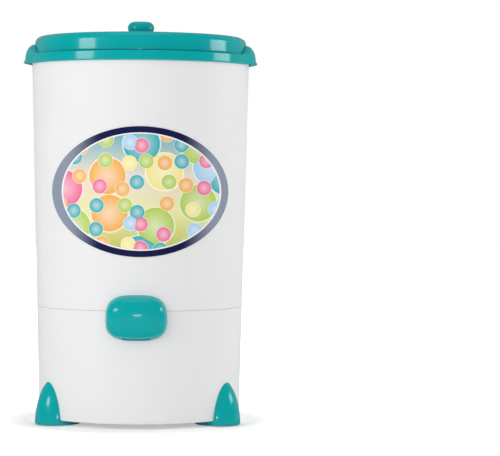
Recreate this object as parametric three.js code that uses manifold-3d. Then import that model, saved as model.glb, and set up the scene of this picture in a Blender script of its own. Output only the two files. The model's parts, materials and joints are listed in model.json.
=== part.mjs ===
// Free-standing laundry spin dryer, in millimetres, +Z up.
// The origin lies on the drum's axis at the floor, and the front faces -Y.

import * as THREE from 'three';
import { mergeVertices } from 'three/addons/utils/BufferGeometryUtils.js';
import Module from 'manifold-3d';

// ---- Driving dimensions: cabinet ----
const DECK_HEIGHT = 594.5; // top face of the ring's deck
const BODY_BOTTOM = 9; // lower edge of the white body
const BODY_FOOT_RADIUS = 163.3; // outer radius at the lower edge
const BODY_TOP_RADIUS = 176.7; // outer radius at the upper edge
const BODY_WALL = 3;
const SEAM_HEIGHT = 186.8; // where the two body parts meet
const SEAM_LIP_HEIGHT = 9.2;
const SEAM_LIP_WALL = 2.4;
const FLOOR_THICKNESS = 3;
const FIT_GAP = 0.3; // between pieces that touch
const RUN_GAP = 0.8; // round a piece that moves
const CUT_MARGIN = 5; // how far a cutting body runs past what it cuts
const JOIN_DEPTH = 1; // how far a joined body runs into its neighbour
const OVERRUN = 1; // how far a short cut runs past a face

// ---- Driving dimensions: ring, handles and hinge ----
const RING_WALL = 3;
const RING_HEIGHT = 15.5;
const DECK_THICKNESS = 3.3;
const EDGE_ROUNDING = 1.5;
const FUNNEL_TOP_RADIUS = 101;
const FUNNEL_LOW_RADIUS = 92.5;
const FUNNEL_DEPTH = 36.5;
const FUNNEL_WALL = 2.5;
const HANDLE_REACH = 10.8; // how far a handle stands out past the ring
const HANDLE_RISE = 16.8; // above the deck
const HANDLE_LIP_TOP = 6.5; // below the deck
const HANDLE_LIP_HEIGHT = 5.3;
const HANDLE_LIP_FLARE = 3;
const HANDLE_WALL = 2.6;
const HANDLE_GAP = 1; // between the lid and the handle beside it
const HANDLE_FULL_ANGLE = 18; // either side of the handle's middle, in degrees
const HANDLE_FADE_ANGLE = 17; // over which it runs out into the ring
const GRIP_HALF_ANGLE = 16; // of the finger hollow
const KNUCKLE_RADIUS = 5.5;
const KNUCKLE_HALF_WIDTH = 11.7;
const HINGE_LUG_WIDTH = 10;
const HINGE_PIN_RADIUS = 2.5;
const HINGE_RISE = 6; // of the pin above the lid's lower edge

// ---- Driving dimensions: lid and its lock ----
const LID_SETBACK = 8; // of the lid's skirt from the ring's outer face
const LID_GAP = 2.5;
const LID_FACE_HEIGHT = 16;
const LID_SHOULDER_WIDTH = 12;
const LID_SHOULDER_HEIGHT = 11;
const LID_CROWN = 4;
const LID_WALL = 2.5;
const LINER_THICKNESS = 2.5;
const LINER_INSET = 0.5; // of the liner from the skirt's lower edge
const GASKET_RADIUS = 109;
const GASKET_WIDTH = 6;
const KNOB_RADIUS = 21.6;
const KNOB_NECK_RADIUS = 18.8; // where it meets the lid
const KNOB_HEIGHT = 22;
const KNOB_FLAT_RADIUS = 12;
const KNOB_SHOULDER_HEIGHT = 10;
const SPINDLE_RADIUS = 5;
const SPINDLE_DEPTH = 13; // inside the knob
const CAM_RADIUS = 11;
const CAM_THICKNESS = 3;
const CAM_PIN_ARM = 5.5;
const CAM_PIN_RADIUS = 1.5;
const CAM_START_ANGLE = 30; // of each drive pin before the middle of its travel
const BOLT_THICKNESS = 3.5;
const BOLT_WIDTH = 10;
const BOLT_INNER_END = 14; // from the axis to the bar's wide part
const BOLT_GUIDE_X = 150;
const BOLT_GUIDE_WIDTH = 3;

// ---- Driving dimensions: spout hood, badge and feet ----
const HOOD_WIDTH = 94.9; // across the plane where its sides start
const HOOD_HEIGHT = 72.6;
const HOOD_BELOW_SEAM = 10; // middle of the hood, below the seam
const HOOD_WALL = 2.5;
const HOOD_STAND = 23.6; // of the hood's front out from the body
const HOOD_BASE_DEPTH = 35.8; // from the hood's front to the plane where its sides start
const HOOD_OUTLINE_POWER = 2.9;
const HOOD_DOME_POWER = 2.6;
const HOOD_MOUTH_WIDTH = 44;
const HOOD_MOUTH_DEPTH = 10;
const HOOD_MOUTH_RIM = 4; // left under the hood beside the body's wall
const HOOD_PEG_X = 32;
const HOOD_PEG_BELOW_SEAM = 22;
const HOOD_PEG_RADIUS = 2.5;
const HOOD_BOSS_RADIUS = 4;
const HOOD_PEG_LENGTH = 8;
const BADGE_WIDTH = 278.8;
const BADGE_HEIGHT = 204;
const BADGE_MIDDLE = 374;
const BADGE_THICKNESS = 0.6;
const FOOT_RADIUS = 36;
const FOOT_HEIGHT = 77;
const FOOT_SETBACK = 15.3; // of a foot's axis inside the body's lower edge
const FOOT_ANGLES = { foot_right: 60, foot_rear: 180, foot_left: 300 }; // round from the front
const PAD_RADIUS = 21;
const PAD_THICKNESS = 4.2;
const PAD_SHOW = 1.5; // below the foot
const SCREW_RADIUS = 2;
const SCREW_HEAD_RADIUS = 4;
const SCREW_HEAD_HEIGHT = 2.4;
const SCREW_BOSS_RADIUS = 5.5;
const SCREW_BOSS_HEIGHT = 12;

// ---- Driving dimensions: tub floor and drum ----
const TUB_DROP = 12.8; // of the tray's underside below the seam
const TUB_WALL = 3;
const TUB_NECK_RADIUS = 30;
const TUB_NECK_HEIGHT = 31;
const NOZZLE_BORE = 9.5;
const NOZZLE_WALL = 2.5;
const NOZZLE_LENGTH = 9; // past the body's wall
const DRUM_RADIUS = 125;
const DRUM_TOP_GAP = 6; // between the drum and the funnel's lower end
const DRUM_WALL = 1.5;
const DRUM_MOUTH_RADIUS = 95;
const DRUM_LIP_DROP = 6;
const DRUM_CORNER = 5;
const DRUM_HOLE_RADIUS = 3;
const DRUM_HOLE_ROWS = 4;
const DRUM_HOLE_COLUMNS = 12;
const DRUM_HOLE_MARGIN = 45; // of the outer rows from the drum's ends
const HUB_RADIUS = 45;
const HUB_FLANGE = 4.7;
const HUB_BOSS_RADIUS = 15;
const HUB_BOSS_HEIGHT = 10;
const HUB_CLEARANCE = 2; // of the boss above the tub's neck
const NUT_RADIUS = 11;
const NUT_HEIGHT = 16;
const THREAD_RADIUS = 5.5;

// ---- Driving dimensions: motor unit on its springs ----
const SHAFT_RADIUS = 7;
const SHAFT_CLEARANCE = 2; // round the shaft in the motor's end walls
const BEARING_RADIUS = 16;
const BEARING_WIDTH = 10;
const MOTOR_RADIUS = 62;
const MOTOR_WALL = 3;
const MOTOR_HALF_HEIGHT = 44.5;
const MOTOR_BOSS_RADIUS = 22;
const MOTOR_BOSS_HEIGHT = 26;
const STATOR_HEIGHT = 31;
const STATOR_BORE = 36.8;
const AIR_GAP = 0.8;
const ROTOR_OVERHANG = 1; // past the stator at each end
const WINDING_INNER = 40;
const WINDING_OUTER = 55;
const WINDING_HEIGHT = 13;
const PLATE_HEIGHT = 57.3; // underside of the motor plate
const PLATE_THICKNESS = 3;
const PLATE_SETBACK = 55.3; // of its rim inside the body's lower edge
const PLATE_BORE = 20;
const MOTOR_LUG_PLACE = 70;
const MOTOR_LUG_RADIUS = 8;
const MOTOR_LUG_THICKNESS = 5;
const SPRING_SETBACK = 13; // of the springs inside the plate's rim
const SPRING_COIL_RADIUS = 9.5;
const SPRING_WIRE_RADIUS = 1.5;
const SPRING_TURNS = 4;
const SPRING_POST_HEIGHT = 14; // above the floor plate
const SPRING_POST_RADIUS = 13;
const SPRING_SPIGOT_RADIUS = 6;
const SPRING_SPIGOT_HEIGHT = 7;
const BRAKE_DRUM_RADIUS = 40;
const BRAKE_DRUM_HEIGHT = 16;
const BRAKE_DRUM_WALL = 3;
const BRAKE_DRUM_DROP = 5.3; // of its top below the motor plate
const BRAKE_HUB_RADIUS = 14;
const SEAL_WALL = 2;

// ---- Driving dimensions: brake linkage, interlock and electrics ----
const LINKAGE_ANGLE = 145; // round from the front
const LINKAGE_SETBACK = 17.4; // of the cable inside the body at the seam
const LEVER_PIVOT_RADIUS = 62; // of the lever's pivot from the axis
const LEVER_PIVOT_HEIGHT = 9; // above the floor plate
const LEVER_THICKNESS = 4;
const LEVER_WIDTH = 8;
const LEVER_HUB_RADIUS = 5;
const LEVER_ARM_HEIGHT = 30; // of the pad's arm above the pivot
const PIVOT_PIN_RADIUS = 2;
const PIVOT_LUG_WIDTH = 3;
const PAD_CLEARANCE = 2.9; // of the released brake pad from its drum
const BRAKE_PAD_THICKNESS = 5;
const BRAKE_PAD_WIDTH = 18;
const BRAKE_PAD_HEIGHT = 12;
const CABLE_RADIUS = 1.2;
const NIPPLE_RADIUS = 3.2;
const DUCT_RADIUS = 6;
const DUCT_WALL = 1.8;
const DUCT_SOCKET_WALL = 2.5;
const DUCT_SOCKET_HEIGHT = 22;
const DUCT_TOP_DROP = 34.5; // of the duct's top below the deck
const PLUNGER_RADIUS = 3;
const PLUNGER_LENGTH = 33;
const FINGER_DROP = 16.5; // of the plunger's finger below the deck
const FINGER_THICKNESS = 3;
const FINGER_LENGTH = 16;
const PLUNGER_TRAVEL = 8;
const SWITCH_WIDTH = 8;
const SWITCH_LENGTH = 15;
const SWITCH_HEIGHT = 12;
const CAPACITOR_RADIUS = 17.5;
const CAPACITOR_HEIGHT = 62;
const CAPACITOR_SETBACK = 28.3; // of its axis inside the body's lower edge
const CAPACITOR_ANGLE = 280;
const TAB_PLACE = 6; // of each terminal tab from the capacitor's axis
const TAB_WIDTH = 6;
const TAB_THICKNESS = 1.2;
const TAB_HEIGHT = 8;
const CLIP_WALL = 1.5;
const CLIP_HEIGHT = 12;
const CLIP_RISE = 23; // of the clip's ring above the floor plate
const GLAND_ANGLE = 210;
const GLAND_HEIGHT = 46;
const GLAND_RADIUS = 7;
const GLAND_FLANGE_RADIUS = 11;
const GLAND_FLANGE = 4;
const GLAND_BORE = 4;
const TERMINAL_SETBACK = 38.3; // of its middle inside the body's lower edge
const TERMINAL_LENGTH = 40;
const TERMINAL_WIDTH = 16;
const TERMINAL_HEIGHT = 22;
const VENT_PLACE = 24;
const VENT_RADIUS = 7;
const VENT_COUNT = 6;

// ---- Facets ----
const BODY_SIDES = 40;
const DRUM_SIDES = 36;
const ROUND_SIDES = 20;
const SMALL_SIDES = 10;

// ---- Places worked out from the driving dimensions ----
const bodyTop = DECK_HEIGHT - DECK_THICKNESS - FIT_GAP;
const bodyRadius = (z) => BODY_FOOT_RADIUS
  + (BODY_TOP_RADIUS - BODY_FOOT_RADIUS) * (z - BODY_BOTTOM) / (bodyTop - BODY_BOTTOM);
const footPlace = BODY_FOOT_RADIUS - FOOT_SETBACK;
const plateRadius = BODY_FOOT_RADIUS - PLATE_SETBACK;
const springPlace = plateRadius - SPRING_SETBACK;
const capacitorPlace = BODY_FOOT_RADIUS - CAPACITOR_SETBACK;
const terminalPlace = BODY_FOOT_RADIUS - TERMINAL_SETBACK;
const linkageRadius = bodyRadius(SEAM_HEIGHT) - LINKAGE_SETBACK;
const floorTop = BODY_BOTTOM + FLOOR_THICKNESS;
const lipTop = SEAM_HEIGHT + SEAM_LIP_HEIGHT;
const lipOuter = bodyRadius(SEAM_HEIGHT) - BODY_WALL - FIT_GAP;
const lipInner = lipOuter - SEAM_LIP_WALL;

const skirtInner = BODY_TOP_RADIUS + FIT_GAP;
const ringRadius = skirtInner + RING_WALL;
const ringBottom = DECK_HEIGHT - RING_HEIGHT;
const deckUnderside = DECK_HEIGHT - DECK_THICKNESS;
const halfSpan = ringRadius + HANDLE_REACH; // the handles and the hinge reach this far

const lidRadius = ringRadius - LID_SETBACK;
const lidBottom = DECK_HEIGHT + LID_GAP;
const lidShoulder = lidBottom + LID_FACE_HEIGHT;
const lidTop = lidShoulder + LID_SHOULDER_HEIGHT + LID_CROWN;
const linerBottom = lidBottom + LINER_INSET;
const linerTop = linerBottom + LINER_THICKNESS;
const boltBottom = linerTop + FIT_GAP;
const boltTop = boltBottom + BOLT_THICKNESS;
const camBottom = boltTop + FIT_GAP;
const camPinX = CAM_PIN_ARM * Math.sin(THREE.MathUtils.degToRad(CAM_START_ANGLE));
const camPinY = CAM_PIN_ARM * Math.cos(THREE.MathUtils.degToRad(CAM_START_ANGLE));
const handleInner = lidRadius + HANDLE_GAP;

const hingeY = halfSpan - KNUCKLE_RADIUS;
const hingeZ = lidBottom + HINGE_RISE;
const hingeBore = HINGE_PIN_RADIUS + FIT_GAP;

const hoodMiddle = SEAM_HEIGHT - HOOD_BELOW_SEAM;
const hoodFront = -bodyRadius(hoodMiddle) - HOOD_STAND;
const hoodPegHeight = SEAM_HEIGHT - HOOD_PEG_BELOW_SEAM;
const nozzleOuter = NOZZLE_BORE + NOZZLE_WALL;

const tubUnderside = SEAM_HEIGHT - TUB_DROP;
const tubTop = tubUnderside + TUB_WALL;
const tubOuter = lipInner - FIT_GAP;
const tubFlangeBottom = lipTop + FIT_GAP;
const tubFlangeTop = tubFlangeBottom + TUB_WALL;
const neckTop = tubUnderside + TUB_NECK_HEIGHT;

const hubBottom = neckTop + HUB_CLEARANCE;
const hubTop = hubBottom + HUB_BOSS_HEIGHT + HUB_FLANGE;
const drumBottom = hubTop + FIT_GAP;
const drumTop = DECK_HEIGHT - FUNNEL_DEPTH - DRUM_TOP_GAP;
const nutBottom = drumBottom + DRUM_WALL + FIT_GAP;

const plateTop = PLATE_HEIGHT + PLATE_THICKNESS;
const motorBottom = plateTop + FIT_GAP;
const motorSplit = motorBottom + MOTOR_HALF_HEIGHT;
const motorTop = motorSplit + FIT_GAP + MOTOR_HALF_HEIGHT;
const motorBossTop = motorTop + MOTOR_BOSS_HEIGHT;
const lowBearingBottom = motorBottom + MOTOR_WALL + FIT_GAP;
const highBearingTop = motorBossTop - MOTOR_WALL;
const highBearingBottom = highBearingTop - BEARING_WIDTH;
const statorMiddle = motorSplit + FIT_GAP / 2;
const statorBottom = statorMiddle - STATOR_HEIGHT / 2;
const statorTop = statorMiddle + STATOR_HEIGHT / 2;
const shaftBore = SHAFT_RADIUS + FIT_GAP;
const bearingSeat = BEARING_RADIUS + FIT_GAP;
const brakeTop = PLATE_HEIGHT - BRAKE_DRUM_DROP;
const brakeBottom = brakeTop - BRAKE_DRUM_HEIGHT;
const springPostTop = floorTop + SPRING_POST_HEIGHT;
const springAngles = { front: 0, right: 120, left: 240 };
const motorBoltAngles = [90, 210, 330];

const pivotHeight = floorTop + LEVER_PIVOT_HEIGHT;
const padFace = BRAKE_DRUM_RADIUS + PAD_CLEARANCE;
const padMiddle = (brakeTop + brakeBottom) / 2;
const ductTop = DECK_HEIGHT - DUCT_TOP_DROP;
const ductLedge = tubUnderside + TUB_WALL;
const plungerTop = linerBottom - FIT_GAP;
const plungerBottom = plungerTop - PLUNGER_LENGTH;
const fingerBottom = DECK_HEIGHT - FINGER_DROP - FINGER_THICKNESS;
const guideRadius = DUCT_RADIUS + FIT_GAP + DUCT_SOCKET_WALL;
const seamScrewHeight = SEAM_HEIGHT + SEAM_LIP_HEIGHT / 2;
const seamScrewAngles = { right: 130, rear: 180, left: 230 };

// ---- Materials ----
const finish = (color, roughness, metalness = 0) => (
  new THREE.MeshStandardMaterial({ color, roughness, metalness }));
const WHITE = finish(0xececed, 0.35);
const TEAL = finish(0x019e9d, 0.25);
const STAINLESS = finish(0xb9bcbf, 0.3, 1);
const STEEL = finish(0x8d9094, 0.4, 1);
const ALUMINIUM = finish(0xa9acad, 0.5, 1);
const COPPER = finish(0xb06a3a, 0.4, 1);
const RUBBER = finish(0x1c1c1d, 0.8);
const BLACK = finish(0x232426, 0.5);
const GREY = finish(0x9da2a6, 0.6);
const PRINT = finish(0x7fb8c8, 0.35);

// ---- Building blocks ----
const wasm = await Module();
wasm.setup();

// A closed geometry as a solid that can be joined and cut.
function solid(geometry) {
  const bare = geometry.clone();
  bare.deleteAttribute('normal');
  bare.deleteAttribute('uv');
  const merged = mergeVertices(bare, 1e-4);
  const corners = merged.index.array;
  const kept = [];
  for (let i = 0; i < corners.length; i += 3) {
    const [a, b, c] = corners.slice(i, i + 3);
    if (a !== b && b !== c && c !== a) kept.push(a, b, c);
  }
  return new wasm.Manifold(new wasm.Mesh({
    numProp: 3,
    vertProperties: merged.attributes.position.array,
    triVerts: new Uint32Array(kept),
  }));
}

// A closed outline of [radius, height] points, counter-clockwise, turned about the Z axis.
function turned(outline, sides) {
  const ends = outline[0][0] === 0 && outline[outline.length - 1][0] === 0 ? [] : [outline[0]];
  const points = [...outline, ...ends].map(([radius, height]) => new THREE.Vector2(radius, height));
  return solid(new THREE.LatheGeometry(points, sides).rotateX(Math.PI / 2));
}

// A ring or, with no bore, a disc.
function ring(bore, radius, bottom, top, sides = ROUND_SIDES) {
  return turned([[bore, bottom], [radius, bottom], [radius, top], [bore, top]], sides);
}

function block(from, to) {
  const size = new THREE.Vector3().subVectors(to, from);
  const middle = new THREE.Vector3().addVectors(from, to).multiplyScalar(0.5);
  return solid(new THREE.BoxGeometry(size.x, size.y, size.z).translate(middle.x, middle.y, middle.z));
}
const box = (x0, x1, y0, y1, z0, z1) => (
  block(new THREE.Vector3(x0, y0, z0), new THREE.Vector3(x1, y1, z1)));

// A round bar between two points.
function bar(from, to, radius, sides = SMALL_SIDES) {
  const start = new THREE.Vector3(...from);
  const along = new THREE.Vector3(...to).sub(start);
  const geometry = new THREE.CylinderGeometry(radius, radius, along.length(), sides);
  const turn = new THREE.Quaternion().setFromUnitVectors(
    new THREE.Vector3(0, 1, 0), along.clone().normalize());
  const middle = start.addScaledVector(along, 0.5);
  return solid(geometry.applyQuaternion(turn).translate(middle.x, middle.y, middle.z));
}

// A flat outline of [first, second] points, made `width` thick about the plane it lies in.
// Its first coordinate runs along X or Y and its second along Z.
function profilePlate(outline, width, firstAxis = 'x') {
  const shape = new THREE.Shape(outline.map(([first, second]) => new THREE.Vector2(first, second)));
  const geometry = new THREE.ExtrudeGeometry(shape, { depth: width, bevelEnabled: false });
  geometry.translate(0, 0, -width / 2).rotateX(Math.PI / 2);
  if (firstAxis === 'y') geometry.rotateZ(Math.PI / 2);
  return solid(geometry);
}

// Sections of [radius, height] points, one at each angle from the front, joined into one body.
function sweptRound(angles, sectionAt) {
  const sections = angles.map((angle) => sectionAt(angle));
  const count = sections[0].length;
  const positions = [];
  sections.forEach((section, i) => {
    const turn = THREE.MathUtils.degToRad(angles[i]);
    section.forEach(([radius, height]) => {
      positions.push(radius * Math.sin(turn), -radius * Math.cos(turn), height);
    });
  });
  const index = [];
  for (let i = 0; i < sections.length - 1; i += 1) {
    for (let j = 0; j < count; j += 1) {
      const k = (j + 1) % count;
      const [a, b, c, d] = [i * count + j, (i + 1) * count + j, (i + 1) * count + k, i * count + k];
      index.push(a, b, c, a, c, d);
    }
  }
  const flat = (section) => section.map(([radius, height]) => new THREE.Vector2(radius, height));
  const last = (sections.length - 1) * count;
  for (const [p, q, r] of THREE.ShapeUtils.triangulateShape(flat(sections[0]), [])) {
    index.push(p, q, r);
  }
  for (const [p, q, r] of THREE.ShapeUtils.triangulateShape(flat(sections[sections.length - 1]), [])) {
    index.push(last + p, last + r, last + q);
  }
  const geometry = new THREE.BufferGeometry();
  geometry.setAttribute('position', new THREE.Float32BufferAttribute(positions, 3));
  geometry.setIndex(index);
  return solid(geometry);
}

const joinAll = (solids) => solids.reduce((whole, next) => whole.add(next));
const range = (count) => Array.from({ length: count }, (_, i) => i);
const around = (piece, degreesFromFront) => piece.rotate([0, 0, degreesFromFront]);

// A piece built at the front, its outward side along -Y, is turned by around, one built along +X
// by fromRight.
const fromRight = (piece, angle) => around(piece, angle - 90);

// The space taken by the body and everything inside it, grown by a gap.
function bodySpace(gap, bottom, top) {
  return turned([[0, bottom], [bodyRadius(bottom) + gap, bottom], [bodyRadius(top) + gap, top], [0, top]],
    BODY_SIDES);
}

const group = new THREE.Group();
group.name = 'spin_dryer';

function addPiece(name, material, piece) {
  const mesh = piece.getMesh();
  const geometry = new THREE.BufferGeometry();
  geometry.setAttribute('position', new THREE.BufferAttribute(new Float32Array(mesh.vertProperties), 3));
  geometry.setIndex(new THREE.BufferAttribute(new Uint32Array(mesh.triVerts), 1));
  geometry.computeVertexNormals();
  const node = new THREE.Mesh(geometry, material);
  node.name = name;
  group.add(node);
}

// ---- Cabinet ----
function seamScrewHole(angle) {
  const far = bodyRadius(SEAM_HEIGHT) + CUT_MARGIN;
  return around(bar([0, -lipInner + CUT_MARGIN, seamScrewHeight], [0, -far, seamScrewHeight],
    SCREW_RADIUS + FIT_GAP), angle);
}
const seamScrewHoles = joinAll(Object.values(seamScrewAngles).map(seamScrewHole));
const nozzleHole = bar([0, -tubOuter + 4 * CUT_MARGIN, SEAM_HEIGHT], [0, -halfSpan, SEAM_HEIGHT],
  nozzleOuter + FIT_GAP, ROUND_SIDES);
const wallMiddle = (bodyTop + SEAM_HEIGHT) / 2;

function upperShell() {
  const bottom = SEAM_HEIGHT + FIT_GAP;
  const wall = turned([
    [bodyRadius(bottom) - BODY_WALL, bottom],
    [bodyRadius(bottom), bottom],
    [bodyRadius(wallMiddle), wallMiddle],
    [BODY_TOP_RADIUS, bodyTop],
    [BODY_TOP_RADIUS - BODY_WALL, bodyTop],
    [bodyRadius(wallMiddle) - BODY_WALL, wallMiddle],
  ], BODY_SIDES);
  return wall.subtract(seamScrewHoles).subtract(nozzleHole);
}

function footAxis(angle) {
  const turn = THREE.MathUtils.degToRad(angle);
  return [footPlace * Math.sin(turn), -footPlace * Math.cos(turn)];
}

function springPost() {
  const post = ring(0, SPRING_POST_RADIUS, floorTop - JOIN_DEPTH, springPostTop, SMALL_SIDES);
  const spigot = ring(0, SPRING_SPIGOT_RADIUS, springPostTop - JOIN_DEPTH,
    springPostTop + SPRING_SPIGOT_HEIGHT, SMALL_SIDES);
  return post.add(spigot).translate([0, -springPlace, 0]);
}

function pivotLugs() {
  const reach = LEVER_WIDTH / 2 + RUN_GAP;
  const outline = [
    [LEVER_PIVOT_RADIUS - LEVER_HUB_RADIUS, floorTop - 1],
    [LEVER_PIVOT_RADIUS + LEVER_HUB_RADIUS, floorTop - 1],
    [LEVER_PIVOT_RADIUS + LEVER_HUB_RADIUS / 2, pivotHeight + LEVER_HUB_RADIUS],
    [LEVER_PIVOT_RADIUS - LEVER_HUB_RADIUS / 2, pivotHeight + LEVER_HUB_RADIUS],
  ];
  const lug = profilePlate(outline, PIVOT_LUG_WIDTH);
  const place = reach + PIVOT_LUG_WIDTH / 2;
  const hole = bar([LEVER_PIVOT_RADIUS, -2 * place, pivotHeight],
    [LEVER_PIVOT_RADIUS, 2 * place, pivotHeight], PIVOT_PIN_RADIUS + FIT_GAP);
  return lug.translate([0, place, 0]).add(lug.translate([0, -place, 0])).subtract(hole);
}

function lowerShell() {
  const inner = (z) => bodyRadius(z) - BODY_WALL;
  const lipRoot = SEAM_HEIGHT - BODY_WALL;
  const wall = turned([
    [0, BODY_BOTTOM],
    [bodyRadius(BODY_BOTTOM) - EDGE_ROUNDING, BODY_BOTTOM],
    [bodyRadius(BODY_BOTTOM + EDGE_ROUNDING), BODY_BOTTOM + EDGE_ROUNDING],
    [bodyRadius(SEAM_HEIGHT), SEAM_HEIGHT],
    [lipOuter, SEAM_HEIGHT],
    [lipOuter, lipTop],
    [lipInner, lipTop],
    [lipInner, lipRoot],
    [inner(lipRoot - BODY_WALL), lipRoot - BODY_WALL],
    [inner(floorTop), floorTop],
    [0, floorTop],
  ], BODY_SIDES);
  const posts = joinAll(Object.values(springAngles).map((angle) => around(springPost(), angle)));
  const bosses = joinAll(Object.values(FOOT_ANGLES).map((angle) => (
    ring(0, SCREW_BOSS_RADIUS, floorTop - JOIN_DEPTH, floorTop + SCREW_BOSS_HEIGHT,
      SMALL_SIDES)
      .translate([...footAxis(angle), 0]))));
  const screwHoles = joinAll(Object.values(FOOT_ANGLES).map((angle) => (
    ring(0, SCREW_RADIUS + FIT_GAP, BODY_BOTTOM - OVERRUN,
      floorTop + SCREW_BOSS_HEIGHT + OVERRUN, SMALL_SIDES)
      .translate([...footAxis(angle), 0]))));
  const vents = joinAll(range(VENT_COUNT).map((i) => around(
    ring(0, VENT_RADIUS, BODY_BOTTOM - OVERRUN, floorTop + OVERRUN, SMALL_SIDES)
      .translate([0, -VENT_PLACE, 0]),
    i * 360 / VENT_COUNT)));
  const glandHole = around(bar([0, -BODY_FOOT_RADIUS / 2, GLAND_HEIGHT], [0, -halfSpan, GLAND_HEIGHT],
    GLAND_RADIUS + FIT_GAP), GLAND_ANGLE);
  const pegHoles = joinAll([-HOOD_PEG_X, HOOD_PEG_X].map((x) => (
    bar([x, -BODY_FOOT_RADIUS / 2, hoodPegHeight], [x, -halfSpan, hoodPegHeight],
      HOOD_PEG_RADIUS + FIT_GAP))));
  return wall.add(posts).add(bosses).add(fromRight(pivotLugs(), LINKAGE_ANGLE))
    .subtract(screwHoles).subtract(vents).subtract(glandHole).subtract(pegHoles)
    .subtract(seamScrewHoles).subtract(nozzleHole);
}

// ---- Ring with its deck, funnel, side handles and hinge lugs ----
// The handle's outer outline from its lip to the top of its inner edge.
function handleOutline(inset) {
  const reach = halfSpan - HANDLE_LIP_FLARE - handleInner - inset;
  const lipTopHeight = DECK_HEIGHT - HANDLE_LIP_TOP;
  const height = HANDLE_RISE + HANDLE_LIP_TOP - inset;
  const arc = range(5).map((i) => {
    const turn = i / 4 * Math.PI / 2;
    return [handleInner + reach * Math.cos(turn), lipTopHeight + height * Math.sin(turn)];
  });
  const lipBottom = lipTopHeight - HANDLE_LIP_HEIGHT;
  return [
    [halfSpan - inset, lipBottom],
    [halfSpan - inset - HANDLE_LIP_FLARE / 2, lipBottom + HANDLE_LIP_HEIGHT / 2],
    ...arc,
  ];
}

function handleSection(offset) {
  const fade = (Math.abs(offset) - HANDLE_FULL_ANGLE) / HANDLE_FADE_ANGLE;
  const weight = 1 - THREE.MathUtils.smoothstep(fade, 0, 1);
  const full = handleOutline(0);
  const hidden = full.map((_, i) => {
    const share = i / (full.length - 1);
    const rise = Math.min(share / 0.6, 1);
    const inward = Math.max((share - 0.6) / 0.4, 0);
    return [
      THREE.MathUtils.lerp(ringRadius - RING_WALL / 3, handleInner, inward),
      THREE.MathUtils.lerp(ringBottom + EDGE_ROUNDING, DECK_HEIGHT - RING_WALL / 3, rise),
    ];
  });
  const outer = full.map(([radius, height], i) => [
    THREE.MathUtils.lerp(hidden[i][0], radius, weight),
    THREE.MathUtils.lerp(hidden[i][1], height, weight),
  ]);
  return [[handleInner, ringBottom + EDGE_ROUNDING], ...outer];
}

function handle() {
  const limit = HANDLE_FULL_ANGLE + HANDLE_FADE_ANGLE;
  const steps = 16;
  const angles = range(steps + 1).map((i) => -limit + 2 * limit * i / steps);
  const body = sweptRound(angles, handleSection);
  const cabinet = ring(handleInner - CUT_MARGIN, skirtInner + JOIN_DEPTH, ringBottom - CUT_MARGIN,
    deckUnderside + JOIN_DEPTH, BODY_SIDES);
  return around(body, 90).subtract(cabinet);
}

function gripHollow() {
  const outline = handleOutline(HANDLE_WALL).filter(([radius]) => radius > skirtInner);
  const low = ringBottom - CUT_MARGIN;
  const ceiling = outline[outline.length - 1][1];
  const inner = skirtInner - JOIN_DEPTH;
  const section = [[inner, low], [outline[0][0], low], ...outline, [inner, ceiling]];
  const steps = 6;
  const angles = range(steps + 1).map((i) => -GRIP_HALF_ANGLE + 2 * GRIP_HALF_ANGLE * i / steps);
  return around(sweptRound(angles, () => section), 90);
}

function hingeLug(side) {
  const arc = range(5).map((i) => {
    const turn = i / 4 * Math.PI;
    return [hingeY + KNUCKLE_RADIUS * Math.cos(turn), hingeZ + KNUCKLE_RADIUS * Math.sin(turn)];
  });
  const outline = [
    [ringRadius - RING_WALL / 2, ringBottom + EDGE_ROUNDING],
    [halfSpan, lidBottom],
    ...arc,
    [hingeY - KNUCKLE_RADIUS, DECK_HEIGHT - EDGE_ROUNDING],
    [ringRadius - RING_WALL / 2, DECK_HEIGHT - EDGE_ROUNDING],
  ];
  const middle = KNUCKLE_HALF_WIDTH + FIT_GAP + HINGE_LUG_WIDTH / 2;
  return profilePlate(outline, HINGE_LUG_WIDTH, 'y').translate([side * middle, 0, 0]);
}

// Along +X from the axis: guide for the plunger and the duct's top, and a bracket for the switch.
function interlockGuide() {
  const guide = ring(0, guideRadius, ductTop - 2 * DUCT_RADIUS, DECK_HEIGHT - JOIN_DEPTH)
    .translate([linkageRadius, 0, 0]);
  const bracket = box(
    linkageRadius + SWITCH_WIDTH / 2 + FIT_GAP, linkageRadius + SWITCH_WIDTH / 2 + FIT_GAP + RING_WALL,
    guideRadius / 2, guideRadius + FIT_GAP + SWITCH_LENGTH,
    fingerBottom - FIT_GAP - SWITCH_HEIGHT, DECK_HEIGHT - JOIN_DEPTH);
  const ductBore = ring(0, DUCT_RADIUS + FIT_GAP, ductTop - 3 * DUCT_RADIUS, ductTop + FIT_GAP)
    .translate([linkageRadius, 0, 0]);
  const plungerBore = ring(0, PLUNGER_RADIUS + RUN_GAP / 2, ductTop, DECK_HEIGHT + OVERRUN)
    .translate([linkageRadius, 0, 0]);
  const slotHalf = FINGER_THICKNESS / 2 + RUN_GAP;
  const slot = box(
    linkageRadius - slotHalf, linkageRadius + slotHalf, 0, 2 * guideRadius,
    fingerBottom - RUN_GAP, fingerBottom + FINGER_THICKNESS + PLUNGER_TRAVEL + RUN_GAP);
  return { solid: guide.add(bracket), cuts: [ductBore, plungerBore, slot] };
}

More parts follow.
